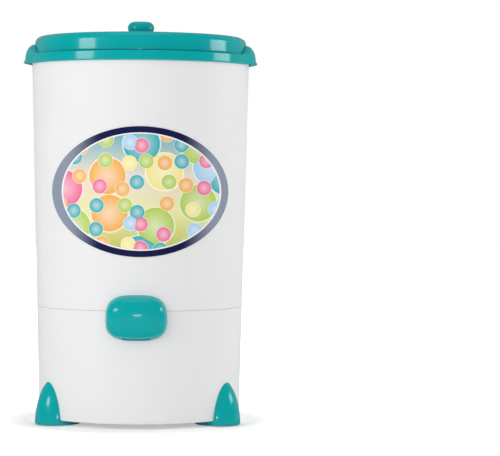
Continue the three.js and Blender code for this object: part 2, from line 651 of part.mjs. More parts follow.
function topRing() {
  const funnelBottom = DECK_HEIGHT - FUNNEL_DEPTH;
  const funnelBend = FUNNEL_TOP_RADIUS - FUNNEL_LOW_RADIUS;
  const base = turned([
    [skirtInner, ringBottom],
    [ringRadius - EDGE_ROUNDING, ringBottom],
    [ringRadius, ringBottom + EDGE_ROUNDING],
    [ringRadius, DECK_HEIGHT - EDGE_ROUNDING],
    [ringRadius - EDGE_ROUNDING, DECK_HEIGHT],
    [FUNNEL_TOP_RADIUS, DECK_HEIGHT],
    [FUNNEL_TOP_RADIUS - funnelBend * 0.7, DECK_HEIGHT - funnelBend * 0.3],
    [FUNNEL_LOW_RADIUS, DECK_HEIGHT - funnelBend],
    [FUNNEL_LOW_RADIUS, funnelBottom],
    [FUNNEL_LOW_RADIUS + FUNNEL_WALL, funnelBottom],
    [FUNNEL_LOW_RADIUS + FUNNEL_WALL, DECK_HEIGHT - funnelBend],
    [FUNNEL_TOP_RADIUS, deckUnderside],
    [skirtInner, deckUnderside],
  ], BODY_SIDES);
  const guide = interlockGuide();
  const boltHole = box(-halfSpan, halfSpan, -BOLT_WIDTH / 2 - RUN_GAP, BOLT_WIDTH / 2 + RUN_GAP,
    boltBottom - RUN_GAP, boltTop + RUN_GAP);
  const handleWall = ring(handleInner - OVERRUN, skirtInner + OVERRUN, DECK_HEIGHT, lidTop, BODY_SIDES);
  const boltHoles = boltHole.intersect(handleWall);
  const pinHole = bar([-halfSpan / 2, hingeY, hingeZ], [halfSpan / 2, hingeY, hingeZ], hingeBore);
  return base
    .add(handle()).add(around(handle(), 180))
    .add(hingeLug(1)).add(hingeLug(-1))
    .add(fromRight(guide.solid, LINKAGE_ANGLE))
    .subtract(gripHollow()).subtract(around(gripHollow(), 180))
    .subtract(joinAll(guide.cuts.map((cut) => fromRight(cut, LINKAGE_ANGLE))))
    .subtract(boltHoles).subtract(pinHole);
}

// ---- Lid ----
function lidOutline(inset, steps) {
  const arc = range(steps + 1).map((i) => {
    const turn = i / steps * Math.PI / 2;
    return [
      lidRadius - LID_SHOULDER_WIDTH + (LID_SHOULDER_WIDTH - inset) * Math.cos(turn),
      lidShoulder + (LID_SHOULDER_HEIGHT - inset) * Math.sin(turn),
    ];
  });
  const flatRadius = lidRadius - LID_SHOULDER_WIDTH;
  const crown = [0.6].map((share) => [
    flatRadius * share, lidShoulder + LID_SHOULDER_HEIGHT - inset + LID_CROWN * (1 - share ** 2),
  ]);
  return [...arc, ...crown];
}

function lidShell() {
  const bore = SPINDLE_RADIUS + FIT_GAP;
  const shell = turned([
    [lidRadius - LID_WALL, lidBottom],
    [lidRadius - EDGE_ROUNDING / 2, lidBottom],
    [lidRadius, lidBottom + EDGE_ROUNDING / 2],
    ...lidOutline(0, 4),
    [bore, lidTop],
    [bore, lidTop - LID_WALL],
    ...lidOutline(LID_WALL, 2).reverse(),
  ], BODY_SIDES);
  const skirtInside = ring(0, lidRadius - LID_WALL, lidBottom - OVERRUN, hingeZ + KNUCKLE_RADIUS + OVERRUN,
    BODY_SIDES);
  const arm = box(-KNUCKLE_HALF_WIDTH, KNUCKLE_HALF_WIDTH, lidRadius - LID_WALL - JOIN_DEPTH, hingeY,
    hingeZ - KNUCKLE_RADIUS * 0.9, hingeZ + KNUCKLE_RADIUS * 0.9).subtract(skirtInside);
  const knuckle = bar([-KNUCKLE_HALF_WIDTH, hingeY, hingeZ], [KNUCKLE_HALF_WIDTH, hingeY, hingeZ],
    KNUCKLE_RADIUS);
  const pinHole = bar([-halfSpan / 2, hingeY, hingeZ], [halfSpan / 2, hingeY, hingeZ], hingeBore);
  const boltSlot = box(-halfSpan, halfSpan, -BOLT_WIDTH / 2 - RUN_GAP / 2, BOLT_WIDTH / 2 + RUN_GAP / 2,
    boltBottom - RUN_GAP / 2, boltTop + RUN_GAP / 2)
    .intersect(ring(lidRadius - 2 * LID_WALL, lidRadius + OVERRUN, lidBottom, lidTop, BODY_SIDES));
  return shell.add(arm).add(knuckle).subtract(pinHole).subtract(boltSlot);
}

function lidLiner() {
  const disc = ring(0, lidRadius - LID_WALL - FIT_GAP, linerBottom, linerTop, BODY_SIDES);
  const half = BOLT_GUIDE_WIDTH / 2;
  const guide = (x, y) => box(x - CUT_MARGIN, x + CUT_MARGIN, y - half, y + half,
    linerTop - JOIN_DEPTH, boltTop);
  const offset = BOLT_WIDTH / 2 + FIT_GAP + BOLT_GUIDE_WIDTH / 2;
  const guides = [-1, 1].flatMap((side) => [-1, 1].map((edge) => guide(side * BOLT_GUIDE_X, edge * offset)));
  return joinAll([disc, ...guides]);
}

function lidGasket() {
  return ring(GASKET_RADIUS - GASKET_WIDTH / 2, GASKET_RADIUS + GASKET_WIDTH / 2,
    DECK_HEIGHT + FIT_GAP, linerBottom - FIT_GAP);
}

function lidKnob() {
  const bottom = lidTop + FIT_GAP;
  const top = lidTop + KNOB_HEIGHT;
  const shoulder = top - KNOB_SHOULDER_HEIGHT;
  const arc = range(5).map((i) => {
    const turn = i / 4 * Math.PI / 2;
    return [
      KNOB_FLAT_RADIUS + (KNOB_RADIUS - KNOB_FLAT_RADIUS) * Math.cos(turn),
      shoulder + KNOB_SHOULDER_HEIGHT * Math.sin(turn),
    ];
  });
  const bore = SPINDLE_RADIUS + FIT_GAP;
  const boreTop = bottom + SPINDLE_DEPTH + FIT_GAP;
  return turned([[bore, bottom], [KNOB_NECK_RADIUS, bottom], ...arc, [0, top], [0, boreTop], [bore, boreTop]],
    ROUND_SIDES);
}

// Each drive pin stands in a cross slot of its bolt and starts short of the middle of its travel.
function lockCam() {
  const disc = ring(0, CAM_RADIUS, camBottom, camBottom + CAM_THICKNESS);
  const spindle = ring(0, SPINDLE_RADIUS, camBottom + JOIN_DEPTH, lidTop + FIT_GAP + SPINDLE_DEPTH,
    SMALL_SIDES);
  const pin = (x, y) => ring(0, CAM_PIN_RADIUS, boltBottom + FIT_GAP, camBottom + JOIN_DEPTH, SMALL_SIDES)
    .translate([x, y, 0]);
  return joinAll([disc, spindle, pin(-camPinX, -camPinY), pin(camPinX, camPinY)]);
}

// The right bolt at rest; the left one is the same bar turned half round.
function lockBolt() {
  const tip = Math.sqrt(lidRadius ** 2 - (BOLT_WIDTH / 2) ** 2) - FIT_GAP;
  const rod = box(BOLT_INNER_END, tip, -BOLT_WIDTH / 2, BOLT_WIDTH / 2, boltBottom, boltTop);
  const slotHalfX = CAM_PIN_RADIUS + RUN_GAP / 2;
  const slotLow = -CAM_PIN_ARM - slotHalfX;
  const slotHigh = -camPinY + slotHalfX;
  const yoke = box(-camPinX - 2 * slotHalfX, BOLT_INNER_END + JOIN_DEPTH, slotLow - slotHalfX, -RUN_GAP,
    boltBottom, boltTop);
  const slot = box(-camPinX - slotHalfX, -camPinX + slotHalfX, slotLow, slotHigh,
    boltBottom - OVERRUN, boltTop + OVERRUN);
  return rod.add(yoke).subtract(slot);
}

// ---- Hood over the water outlet ----
// A dome on a rounded oblong outline, its front at `front` and its sides starting at `base`.
function hoodDome(halfWidth, halfHeight, front, base) {
  const spokes = 28;
  const rings = 6;
  const power = (value, exponent) => Math.sign(value) * Math.abs(value) ** exponent;
  const positions = [];
  range(rings).forEach((i) => {
    const rise = i / rings * Math.PI / 2;
    const share = Math.cos(rise) ** (2 / HOOD_DOME_POWER);
    const depth = Math.sin(rise) ** (2 / HOOD_DOME_POWER);
    range(spokes).forEach((j) => {
      const turn = (j + 0.5) / spokes * 2 * Math.PI;
      positions.push(
        halfWidth * share * power(Math.cos(turn), 2 / HOOD_OUTLINE_POWER),
        base + (front - base) * depth,
        halfHeight * share * power(Math.sin(turn), 2 / HOOD_OUTLINE_POWER));
    });
  });
  positions.push(0, front, 0, 0, base, 0);
  const tip = rings * spokes;
  const back = tip + 1;
  const index = [];
  range(spokes).forEach((j) => {
    const k = (j + 1) % spokes;
    range(rings - 1).forEach((i) => {
      const [a, b, c, d] = [i * spokes + j, i * spokes + k, (i + 1) * spokes + k, (i + 1) * spokes + j];
      index.push(a, b, c, a, c, d);
    });
    const last = (rings - 1) * spokes;
    index.push(last + j, last + k, tip, j, back, k);
  });
  const geometry = new THREE.BufferGeometry();
  geometry.setAttribute('position', new THREE.Float32BufferAttribute(positions, 3));
  geometry.setIndex(index);
  return solid(geometry).translate([0, 0, hoodMiddle]);
}

function spoutHood() {
  const base = hoodFront + HOOD_BASE_DEPTH;
  const outer = hoodDome(HOOD_WIDTH / 2, HOOD_HEIGHT / 2, hoodFront, base);
  const inner = hoodDome(HOOD_WIDTH / 2 - HOOD_WALL, HOOD_HEIGHT / 2 - HOOD_WALL,
    hoodFront + HOOD_WALL, base + CUT_MARGIN);
  const low = hoodMiddle - HOOD_HEIGHT / 2;
  const wallFront = -bodyRadius(low);
  const mouth = box(-HOOD_MOUTH_WIDTH / 2, HOOD_MOUTH_WIDTH / 2,
    wallFront - HOOD_MOUTH_RIM - HOOD_MOUTH_DEPTH, wallFront - HOOD_MOUTH_RIM,
    low - CUT_MARGIN, hoodMiddle - HOOD_HEIGHT / 4);
  const pegs = (radius, from, to) => joinAll([-HOOD_PEG_X, HOOD_PEG_X].map((x) => (
    bar([x, from, hoodPegHeight], [x, to, hoodPegHeight], radius))));
  const pegWall = -Math.sqrt(bodyRadius(hoodPegHeight) ** 2 - HOOD_PEG_X ** 2);
  const core = hoodDome(HOOD_WIDTH / 2 - HOOD_WALL / 2, HOOD_HEIGHT / 2 - HOOD_WALL / 2,
    hoodFront + HOOD_WALL / 2, base + CUT_MARGIN);
  const bosses = pegs(HOOD_BOSS_RADIUS, pegWall + JOIN_DEPTH, hoodFront).intersect(core);
  return outer.subtract(inner).subtract(mouth).add(bosses)
    .subtract(bodySpace(FIT_GAP, low - CUT_MARGIN, hoodMiddle + HOOD_HEIGHT))
    .add(pegs(HOOD_PEG_RADIUS, pegWall - CUT_MARGIN, pegWall + HOOD_PEG_LENGTH).intersect(
      bodySpace(CUT_MARGIN, low, hoodMiddle + HOOD_HEIGHT)));
}

// ---- Badge ----
function badgeFilm() {
  const low = BADGE_MIDDLE - BADGE_HEIGHT / 2 - 1;
  const high = BADGE_MIDDLE + BADGE_HEIGHT / 2 + 1;
  const inner = FIT_GAP;
  const outer = FIT_GAP + BADGE_THICKNESS;
  const skin = turned([
    [bodyRadius(low) + inner, low], [bodyRadius(low) + outer, low],
    [bodyRadius(high) + outer, high], [bodyRadius(high) + inner, high],
  ], BODY_SIDES);
  const outline = range(BODY_SIDES).map((i) => {
    const turn = i / BODY_SIDES * 2 * Math.PI;
    return [BADGE_WIDTH / 2 * Math.cos(turn), BADGE_MIDDLE + BADGE_HEIGHT / 2 * Math.sin(turn)];
  });
  return skin.intersect(profilePlate(outline, halfSpan).translate([0, -halfSpan / 2, 0]));
}

// ---- Feet ----
function foot(angle) {
  const rings = 7;
  const arc = range(rings).map((i) => {
    const rise = i / rings * Math.PI / 2;
    return [FOOT_RADIUS * Math.cos(rise), FOOT_HEIGHT * Math.sin(rise)];
  }).filter(([, height]) => height > PAD_SHOW);
  const dome = turned([[0, PAD_SHOW], [FOOT_RADIUS, PAD_SHOW], ...arc, [0, FOOT_HEIGHT]], ROUND_SIDES)
    .translate([...footAxis(angle), 0]);
  const recess = ring(0, PAD_RADIUS + FIT_GAP, -OVERRUN, PAD_THICKNESS + FIT_GAP)
    .translate([...footAxis(angle), 0]);
  const screwHole = ring(0, SCREW_RADIUS + FIT_GAP, 0, FOOT_HEIGHT, SMALL_SIDES)
    .translate([...footAxis(angle), 0]);
  return dome.subtract(bodySpace(FIT_GAP, BODY_BOTTOM - FIT_GAP, SEAM_HEIGHT))
    .subtract(recess).subtract(screwHole);
}

function footPad(angle) {
  return ring(SCREW_HEAD_RADIUS + RUN_GAP, PAD_RADIUS, 0, PAD_THICKNESS).translate([...footAxis(angle), 0]);
}

function footScrew(angle) {
  const headTop = PAD_THICKNESS;
  const shank = ring(0, SCREW_RADIUS, headTop - JOIN_DEPTH, floorTop + SCREW_BOSS_HEIGHT - RUN_GAP,
    SMALL_SIDES);
  return ring(0, SCREW_HEAD_RADIUS, headTop - SCREW_HEAD_HEIGHT, headTop, SMALL_SIDES).add(shank)
    .translate([...footAxis(angle), 0]);
}

function seamScrew(angle) {
  const face = bodyRadius(seamScrewHeight) + FIT_GAP;
  const shank = bar([0, -lipInner - FIT_GAP, seamScrewHeight], [0, -face - JOIN_DEPTH, seamScrewHeight],
    SCREW_RADIUS);
  const head = bar([0, -face, seamScrewHeight], [0, -face - SCREW_HEAD_HEIGHT, seamScrewHeight],
    SCREW_HEAD_RADIUS);
  return around(shank.add(head), angle);
}

// ---- Tub floor ----
function tubFloor() {
  const flangeRadius = bodyRadius(tubFlangeBottom) - BODY_WALL - FIT_GAP;
  const tray = turned([
    [TUB_NECK_RADIUS, tubUnderside],
    [tubOuter, tubUnderside],
    [tubOuter, tubFlangeBottom],
    [flangeRadius, tubFlangeBottom],
    [flangeRadius, tubFlangeTop],
    [tubOuter - TUB_WALL, tubFlangeTop],
    [tubOuter - TUB_WALL, tubTop],
    [TUB_NECK_RADIUS + TUB_WALL, tubTop],
    [TUB_NECK_RADIUS + TUB_WALL, neckTop],
    [TUB_NECK_RADIUS, neckTop],
  ], BODY_SIDES);
  const nozzleEnd = -bodyRadius(SEAM_HEIGHT) - NOZZLE_LENGTH;
  const nozzle = bar([0, -tubOuter + TUB_WALL / 2, SEAM_HEIGHT], [0, nozzleEnd, SEAM_HEIGHT],
    nozzleOuter, ROUND_SIDES);
  const nozzleBore = bar([0, -tubOuter + 2 * TUB_WALL, SEAM_HEIGHT], [0, nozzleEnd - OVERRUN, SEAM_HEIGHT],
    NOZZLE_BORE, ROUND_SIDES);
  const socketTop = tubUnderside + DUCT_SOCKET_HEIGHT;
  const socket = ring(0, DUCT_RADIUS + FIT_GAP + DUCT_SOCKET_WALL, tubUnderside, socketTop)
    .translate([linkageRadius, 0, 0]);
  const socketBore = ring(0, DUCT_RADIUS + FIT_GAP, ductLedge, socketTop + OVERRUN)
    .add(ring(0, DUCT_RADIUS - DUCT_WALL, tubUnderside - OVERRUN, ductLedge + OVERRUN))
    .translate([linkageRadius, 0, 0]);
  return tray.add(nozzle).add(fromRight(socket, LINKAGE_ANGLE))
    .subtract(nozzleBore).subtract(fromRight(socketBore, LINKAGE_ANGLE));
}

// ---- Drum and what turns with it ----
function drumBasket() {
  const bore = THREAD_RADIUS + FIT_GAP;
  const basket = turned([
    [bore, drumBottom],
    [DRUM_RADIUS - DRUM_CORNER, drumBottom],
    [DRUM_RADIUS, drumBottom + DRUM_CORNER],
    [DRUM_RADIUS, drumTop - DRUM_CORNER],
    [DRUM_RADIUS - DRUM_CORNER, drumTop],
    [DRUM_MOUTH_RADIUS, drumTop],
    [DRUM_MOUTH_RADIUS, drumTop - DRUM_LIP_DROP],
    [DRUM_MOUTH_RADIUS + DRUM_WALL, drumTop - DRUM_LIP_DROP],
    [DRUM_MOUTH_RADIUS + DRUM_WALL, drumTop - DRUM_WALL],
    [DRUM_RADIUS - DRUM_CORNER - DRUM_WALL / 2, drumTop - DRUM_WALL],
    [DRUM_RADIUS - DRUM_WALL, drumTop - DRUM_CORNER - DRUM_WALL / 2],
    [DRUM_RADIUS - DRUM_WALL, drumBottom + DRUM_CORNER + DRUM_WALL / 2],
    [DRUM_RADIUS - DRUM_CORNER - DRUM_WALL / 2, drumBottom + DRUM_WALL],
    [bore, drumBottom + DRUM_WALL],
  ], DRUM_SIDES);
  const firstRow = drumBottom + DRUM_HOLE_MARGIN;
  const pitch = (drumTop - drumBottom - 2 * DRUM_HOLE_MARGIN) / (DRUM_HOLE_ROWS - 1);
  const facetMiddle = 180 / DRUM_SIDES;
  const holes = range(DRUM_HOLE_ROWS).flatMap((row) => range(DRUM_HOLE_COLUMNS).map((column) => {
    const height = firstRow + row * pitch;
    const hole = bar([0, -DRUM_RADIUS + CUT_MARGIN, height], [0, -DRUM_RADIUS - CUT_MARGIN, height],
      DRUM_HOLE_RADIUS, 6);
    return around(hole, facetMiddle + column * 360 / DRUM_HOLE_COLUMNS);
  }));
  return basket.subtract(joinAll(holes));
}

function drumHub() {
  return turned([
    [shaftBore, hubBottom],
    [HUB_BOSS_RADIUS, hubBottom],
    [HUB_BOSS_RADIUS, hubTop - HUB_FLANGE],
    [HUB_RADIUS, hubTop - HUB_FLANGE],
    [HUB_RADIUS, hubTop],
    [shaftBore, hubTop],
  ], ROUND_SIDES);
}

function drumNut() {
  const bore = THREAD_RADIUS + FIT_GAP;
  const hexTop = nutBottom + NUT_HEIGHT / 2;
  const top = nutBottom + NUT_HEIGHT;
  const hex = ring(0, NUT_RADIUS, nutBottom, hexTop, 6);
  const dome = turned([
    [0, hexTop - 1], [NUT_RADIUS * 0.8, hexTop - 1], [NUT_RADIUS * 0.7, (hexTop + top) / 2],
    [NUT_RADIUS * 0.4, top - 1], [0, top],
  ], SMALL_SIDES);
  return hex.add(dome).subtract(ring(0, bore, nutBottom - OVERRUN, top - BODY_WALL, SMALL_SIDES));
}

function mainShaft() {
  const bottom = brakeBottom - BRAKE_DRUM_WALL;
  const threadTop = nutBottom + NUT_HEIGHT - BODY_WALL - 1;
  return turned([
    [0, bottom],
    [SHAFT_RADIUS, bottom],
    [SHAFT_RADIUS, hubTop],
    [THREAD_RADIUS, hubTop],
    [THREAD_RADIUS, threadTop],
    [0, threadTop],
  ], ROUND_SIDES);
}

function brakeDrum() {
  return turned([
    [shaftBore, brakeBottom],
    [BRAKE_HUB_RADIUS, brakeBottom],
    [BRAKE_HUB_RADIUS, brakeTop - BRAKE_DRUM_WALL],
    [BRAKE_DRUM_RADIUS - BRAKE_DRUM_WALL, brakeTop - BRAKE_DRUM_WALL],
    [BRAKE_DRUM_RADIUS - BRAKE_DRUM_WALL, brakeBottom],
    [BRAKE_DRUM_RADIUS, brakeBottom],
    [BRAKE_DRUM_RADIUS, brakeTop],
    [shaftBore, brakeTop],
  ], ROUND_SIDES);
}

// ---- Motor ----
function motorLug(bottom, top, angle) {
  return around(
    ring(0, MOTOR_LUG_RADIUS, bottom, top, SMALL_SIDES).translate([0, -MOTOR_LUG_PLACE, 0])
      .add(box(-MOTOR_LUG_RADIUS * 0.8, MOTOR_LUG_RADIUS * 0.8,
        -MOTOR_LUG_PLACE, -MOTOR_RADIUS + MOTOR_WALL / 2, bottom, top)),
    angle);
}

function boltHoleRound(bottom, top, angle) {
  return around(ring(0, SCREW_RADIUS + FIT_GAP, bottom, top, SMALL_SIDES)
    .translate([0, -MOTOR_LUG_PLACE, 0]), angle);
}

function motorLowerHousing() {
  const wallInner = MOTOR_RADIUS - MOTOR_WALL;
  const floor = motorBottom + MOTOR_WALL;
  const seatTop = floor + BEARING_WIDTH;
  const cup = turned([
    [SHAFT_RADIUS + SHAFT_CLEARANCE, motorBottom],
    [MOTOR_RADIUS, motorBottom],
    [MOTOR_RADIUS, motorSplit],
    [wallInner, motorSplit],
    [wallInner, floor],
    [bearingSeat + MOTOR_WALL, floor],
    [bearingSeat + MOTOR_WALL, seatTop],
    [bearingSeat, seatTop],
    [bearingSeat, floor],
    [SHAFT_RADIUS + SHAFT_CLEARANCE, floor],
  ], ROUND_SIDES);
  const lugs = joinAll(motorBoltAngles.map((angle) => (
    motorLug(motorBottom, motorBottom + MOTOR_LUG_THICKNESS, angle))));
  const inside = ring(0, wallInner, floor, motorSplit);
  const holes = joinAll(motorBoltAngles.map((angle) => (
    boltHoleRound(motorBottom - OVERRUN, motorBottom + MOTOR_LUG_THICKNESS + OVERRUN, angle))));
  return cup.add(lugs.subtract(inside)).subtract(holes);
}

function motorUpperHousing() {
  const wallInner = MOTOR_RADIUS - MOTOR_WALL;
  const bottom = motorSplit + FIT_GAP;
  return turned([
    [MOTOR_RADIUS, bottom],
    [MOTOR_RADIUS, motorTop],
    [MOTOR_BOSS_RADIUS, motorTop],
    [MOTOR_BOSS_RADIUS, motorBossTop],
    [bearingSeat, motorBossTop],
    [bearingSeat, highBearingBottom - FIT_GAP],
    [SHAFT_RADIUS + SHAFT_CLEARANCE, highBearingBottom - FIT_GAP],
    [SHAFT_RADIUS + SHAFT_CLEARANCE, motorTop - MOTOR_WALL],
    [wallInner, motorTop - MOTOR_WALL],
    [wallInner, bottom],
  ], ROUND_SIDES);
}

function motorPlate() {
  const disc = ring(PLATE_BORE, plateRadius, PLATE_HEIGHT, plateTop);
  const spigots = joinAll(Object.values(springAngles).map((angle) => around(
    ring(0, SPRING_SPIGOT_RADIUS, PLATE_HEIGHT - SPRING_SPIGOT_HEIGHT, PLATE_HEIGHT + JOIN_DEPTH,
      SMALL_SIDES)
      .translate([0, -springPlace, 0]), angle)));
  const holes = joinAll(motorBoltAngles.map((angle) => (
    boltHoleRound(PLATE_HEIGHT - OVERRUN, plateTop + OVERRUN, angle))));
  return disc.add(spigots).subtract(holes);
}

function motorBolt(angle) {
  const headBottom = motorBottom + MOTOR_LUG_THICKNESS + FIT_GAP;
  const head = ring(0, SCREW_HEAD_RADIUS, headBottom, headBottom + SCREW_HEAD_HEIGHT, 6);
  const shank = ring(0, SCREW_RADIUS, PLATE_HEIGHT - PLATE_THICKNESS, headBottom + JOIN_DEPTH,
    SMALL_SIDES);
  return around(head.add(shank).translate([0, -MOTOR_LUG_PLACE, 0]), angle);
}

// A coil spring between the post on the floor and the motor plate.
class SpringPath extends THREE.Curve {
  getPoint(share, target = new THREE.Vector3()) {
    const turn = share * SPRING_TURNS * 2 * Math.PI;
    const low = springPostTop + FIT_GAP + SPRING_WIRE_RADIUS;
    const high = PLATE_HEIGHT - FIT_GAP - SPRING_WIRE_RADIUS;
    return target.set(
      SPRING_COIL_RADIUS * Math.cos(turn), SPRING_COIL_RADIUS * Math.sin(turn), low + (high - low) * share);
  }
}

function suspensionSpring(angle) {
  const sides = 5;
  const wire = new THREE.Shape(range(sides).map((i) => new THREE.Vector2(
    SPRING_WIRE_RADIUS * Math.cos(i / sides * 2 * Math.PI),
    SPRING_WIRE_RADIUS * Math.sin(i / sides * 2 * Math.PI))));
  const geometry = new THREE.ExtrudeGeometry(wire, {
    steps: SPRING_TURNS * 7, extrudePath: new SpringPath(), bevelEnabled: false,
  });
  return around(solid(geometry).translate([0, -springPlace, 0]), angle);
}

// Rubber seal between the motor's boss and the tub's neck.
function shaftSeal() {
  const inner = MOTOR_BOSS_RADIUS + FIT_GAP;
  const outer = TUB_NECK_RADIUS - FIT_GAP;
  const low = motorBossTop - BEARING_WIDTH;
  return turned([
    [inner, low],
    [inner + SEAL_WALL, low],
    [inner + SEAL_WALL, motorBossTop],
    [outer, motorBossTop + SEAL_WALL],
    [outer, neckTop],
    [outer - SEAL_WALL, neckTop],
    [outer - SEAL_WALL, motorBossTop + 2 * SEAL_WALL],
    [inner, motorBossTop + SEAL_WALL / 2],
  ], ROUND_SIDES);
}

// ---- Brake linkage, interlock and electrics, built along +X and turned to their place ----
function brakeLever() {
  const half = LEVER_THICKNESS / 2;
  const end = linkageRadius + LEVER_HUB_RADIUS;
  const armBack = padFace + BRAKE_PAD_THICKNESS + FIT_GAP;
  const armTop = padMiddle + BRAKE_PAD_HEIGHT / 2;
  const outline = [
    [LEVER_PIVOT_RADIUS, pivotHeight - half],
    [end, pivotHeight - half],
    [end, pivotHeight + half],
    [LEVER_PIVOT_RADIUS + half, pivotHeight + half],
    [armBack + 2 * half, armTop - half],
    [armBack + 2 * half, armTop],
    [armBack, armTop],
    [armBack, armTop - BRAKE_PAD_HEIGHT],
    [LEVER_PIVOT_RADIUS - half, pivotHeight],
  ];
  const hub = bar([LEVER_PIVOT_RADIUS, -LEVER_WIDTH / 2, pivotHeight],
    [LEVER_PIVOT_RADIUS, LEVER_WIDTH / 2, pivotHeight], LEVER_HUB_RADIUS);
  const pinHole = bar([LEVER_PIVOT_RADIUS, -LEVER_WIDTH, pivotHeight],
    [LEVER_PIVOT_RADIUS, LEVER_WIDTH, pivotHeight], PIVOT_PIN_RADIUS + FIT_GAP);
  const cableHole = ring(0, CABLE_RADIUS + RUN_GAP, pivotHeight - LEVER_HUB_RADIUS,
    pivotHeight + LEVER_HUB_RADIUS, SMALL_SIDES).translate([linkageRadius, 0, 0]);
  return profilePlate(outline, LEVER_WIDTH).add(hub).subtract(pinHole).subtract(cableHole);
}

function brakePad() {
  return box(padFace, padFace + BRAKE_PAD_THICKNESS, -BRAKE_PAD_WIDTH / 2, BRAKE_PAD_WIDTH / 2,
    padMiddle - BRAKE_PAD_HEIGHT / 2, padMiddle + BRAKE_PAD_HEIGHT / 2);
}

function brakePivot() {
  const reach = LEVER_WIDTH / 2 + RUN_GAP + PIVOT_LUG_WIDTH + 1;
  return bar([LEVER_PIVOT_RADIUS, -reach, pivotHeight], [LEVER_PIVOT_RADIUS, reach, pivotHeight],
    PIVOT_PIN_RADIUS);
}

// The cable hangs from the plunger; its round nipple sits under the lever's hole.
function brakeCable() {
  const holeRadius = CABLE_RADIUS + RUN_GAP;
  const nippleDrop = Math.sqrt(NIPPLE_RADIUS ** 2 - holeRadius ** 2) + FIT_GAP;
  const nippleHeight = pivotHeight - LEVER_THICKNESS / 2 - nippleDrop;
  const nipple = solid(new THREE.SphereGeometry(NIPPLE_RADIUS, 12, 8).rotateX(Math.PI / 2))
    .translate([0, 0, nippleHeight]);
  return ring(0, CABLE_RADIUS, nippleHeight, plungerBottom - FIT_GAP, 8).add(nipple)
    .translate([linkageRadius, 0, 0]);
}

function interlockPlunger() {
  const rod = ring(0, PLUNGER_RADIUS, plungerBottom, plungerTop, SMALL_SIDES)
    .translate([linkageRadius, 0, 0]);
  const finger = box(linkageRadius - FINGER_THICKNESS / 2, linkageRadius + FINGER_THICKNESS / 2,
    0, FINGER_LENGTH, fingerBottom, fingerBottom + FINGER_THICKNESS);
  return rod.add(finger);
}

function microSwitch() {
  const start = guideRadius + FIT_GAP;
  const top = fingerBottom - FIT_GAP;
  return box(linkageRadius - SWITCH_WIDTH / 2, linkageRadius + SWITCH_WIDTH / 2,
    start, start + SWITCH_LENGTH, top - SWITCH_HEIGHT, top);
}

function cableDuct() {
  return ring(DUCT_RADIUS - DUCT_WALL, DUCT_RADIUS, ductLedge + FIT_GAP, ductTop)
    .translate([linkageRadius, 0, 0]);
}

function capacitorCan() {
  const bottom = floorTop + FIT_GAP;
  const can = ring(0, CAPACITOR_RADIUS, bottom, bottom + CAPACITOR_HEIGHT);
  const top = bottom + CAPACITOR_HEIGHT;
  const tabs = [-TAB_PLACE, TAB_PLACE].map((y) => (
    box(-TAB_WIDTH / 2, TAB_WIDTH / 2, y - TAB_THICKNESS / 2, y + TAB_THICKNESS / 2,
      top - JOIN_DEPTH, top + TAB_HEIGHT)));
  return joinAll([can, ...tabs]).translate([capacitorPlace, 0, 0]);
}

function capacitorClip() {
  const bore = CAPACITOR_RADIUS + FIT_GAP;
  const band = ring(bore, bore + CLIP_WALL, floorTop + CLIP_RISE, floorTop + CLIP_RISE + CLIP_HEIGHT)
    .translate([capacitorPlace, 0, 0]);
  const leg = box(capacitorPlace + bore + CLIP_WALL / 2, capacitorPlace + bore + 2 * CLIP_WALL,
    -CLIP_HEIGHT / 2, CLIP_HEIGHT / 2, floorTop + FIT_GAP, floorTop + CLIP_RISE + CLIP_HEIGHT);
  return band.add(leg);
}

function cordGland() {
  const face = -bodyRadius(GLAND_HEIGHT) - FIT_GAP;
  const flange = bar([0, face, GLAND_HEIGHT], [0, face - GLAND_FLANGE, GLAND_HEIGHT], GLAND_FLANGE_RADIUS);
  const shank = bar([0, face - JOIN_DEPTH, GLAND_HEIGHT], [0, face + 4 * BODY_WALL, GLAND_HEIGHT],
    GLAND_RADIUS);
  const bore = bar([0, face - 2 * GLAND_FLANGE, GLAND_HEIGHT], [0, face + 5 * BODY_WALL, GLAND_HEIGHT],
    GLAND_BORE);
  return around(flange.add(shank).subtract(bore), GLAND_ANGLE);
}

function terminalBlock() {
  const bottom = floorTop + FIT_GAP;
  const body = box(-TERMINAL_LENGTH / 2, TERMINAL_LENGTH / 2,
    -terminalPlace - TERMINAL_WIDTH / 2, -terminalPlace + TERMINAL_WIDTH / 2,
    bottom, bottom + TERMINAL_HEIGHT);
  return around(body, GLAND_ANGLE);
}

function hingePin() {
  const reach = KNUCKLE_HALF_WIDTH + FIT_GAP + HINGE_LUG_WIDTH + 1;
  return bar([-reach, hingeY, hingeZ], [reach, hingeY, hingeZ], HINGE_PIN_RADIUS);
}

// ---- Assembly ----
addPiece('upper_shell', WHITE, upperShell());
addPiece('lower_shell', WHITE, lowerShell());
addPiece('top_ring', TEAL, topRing());
addPiece('spout_hood', TEAL, spoutHood());
addPiece('badge', PRINT, badgeFilm());
for (const [name, angle] of Object.entries(FOOT_ANGLES)) {
  const place = name.slice('foot_'.length);
  addPiece(name, TEAL, foot(angle));
  addPiece(`foot_pad_${place}`, RUBBER, footPad(angle));
  addPiece(`foot_screw_${place}`, STEEL, footScrew(angle));
}
for (const [place, angle] of Object.entries(seamScrewAngles)) {
  addPiece(`seam_screw_${place}`, STEEL, seamScrew(angle));
}
addPiece('lid', TEAL, lidShell());
addPiece('lid_liner', GREY, lidLiner());
addPiece('lid_gasket', RUBBER, lidGasket());
addPiece('lid_knob', TEAL, lidKnob());
addPiece('lock_cam', BLACK, lockCam());
addPiece('lock_bolt_right', STEEL, lockBolt());
addPiece('lock_bolt_left', STEEL, around(lockBolt(), 180));
addPiece('hinge_pin', STEEL, hingePin());
addPiece('tub_floor', GREY, tubFloor());
addPiece('drum', STAINLESS, drumBasket());
addPiece('drum_hub', ALUMINIUM, drumHub());
addPiece('drum_nut', STAINLESS, drumNut());
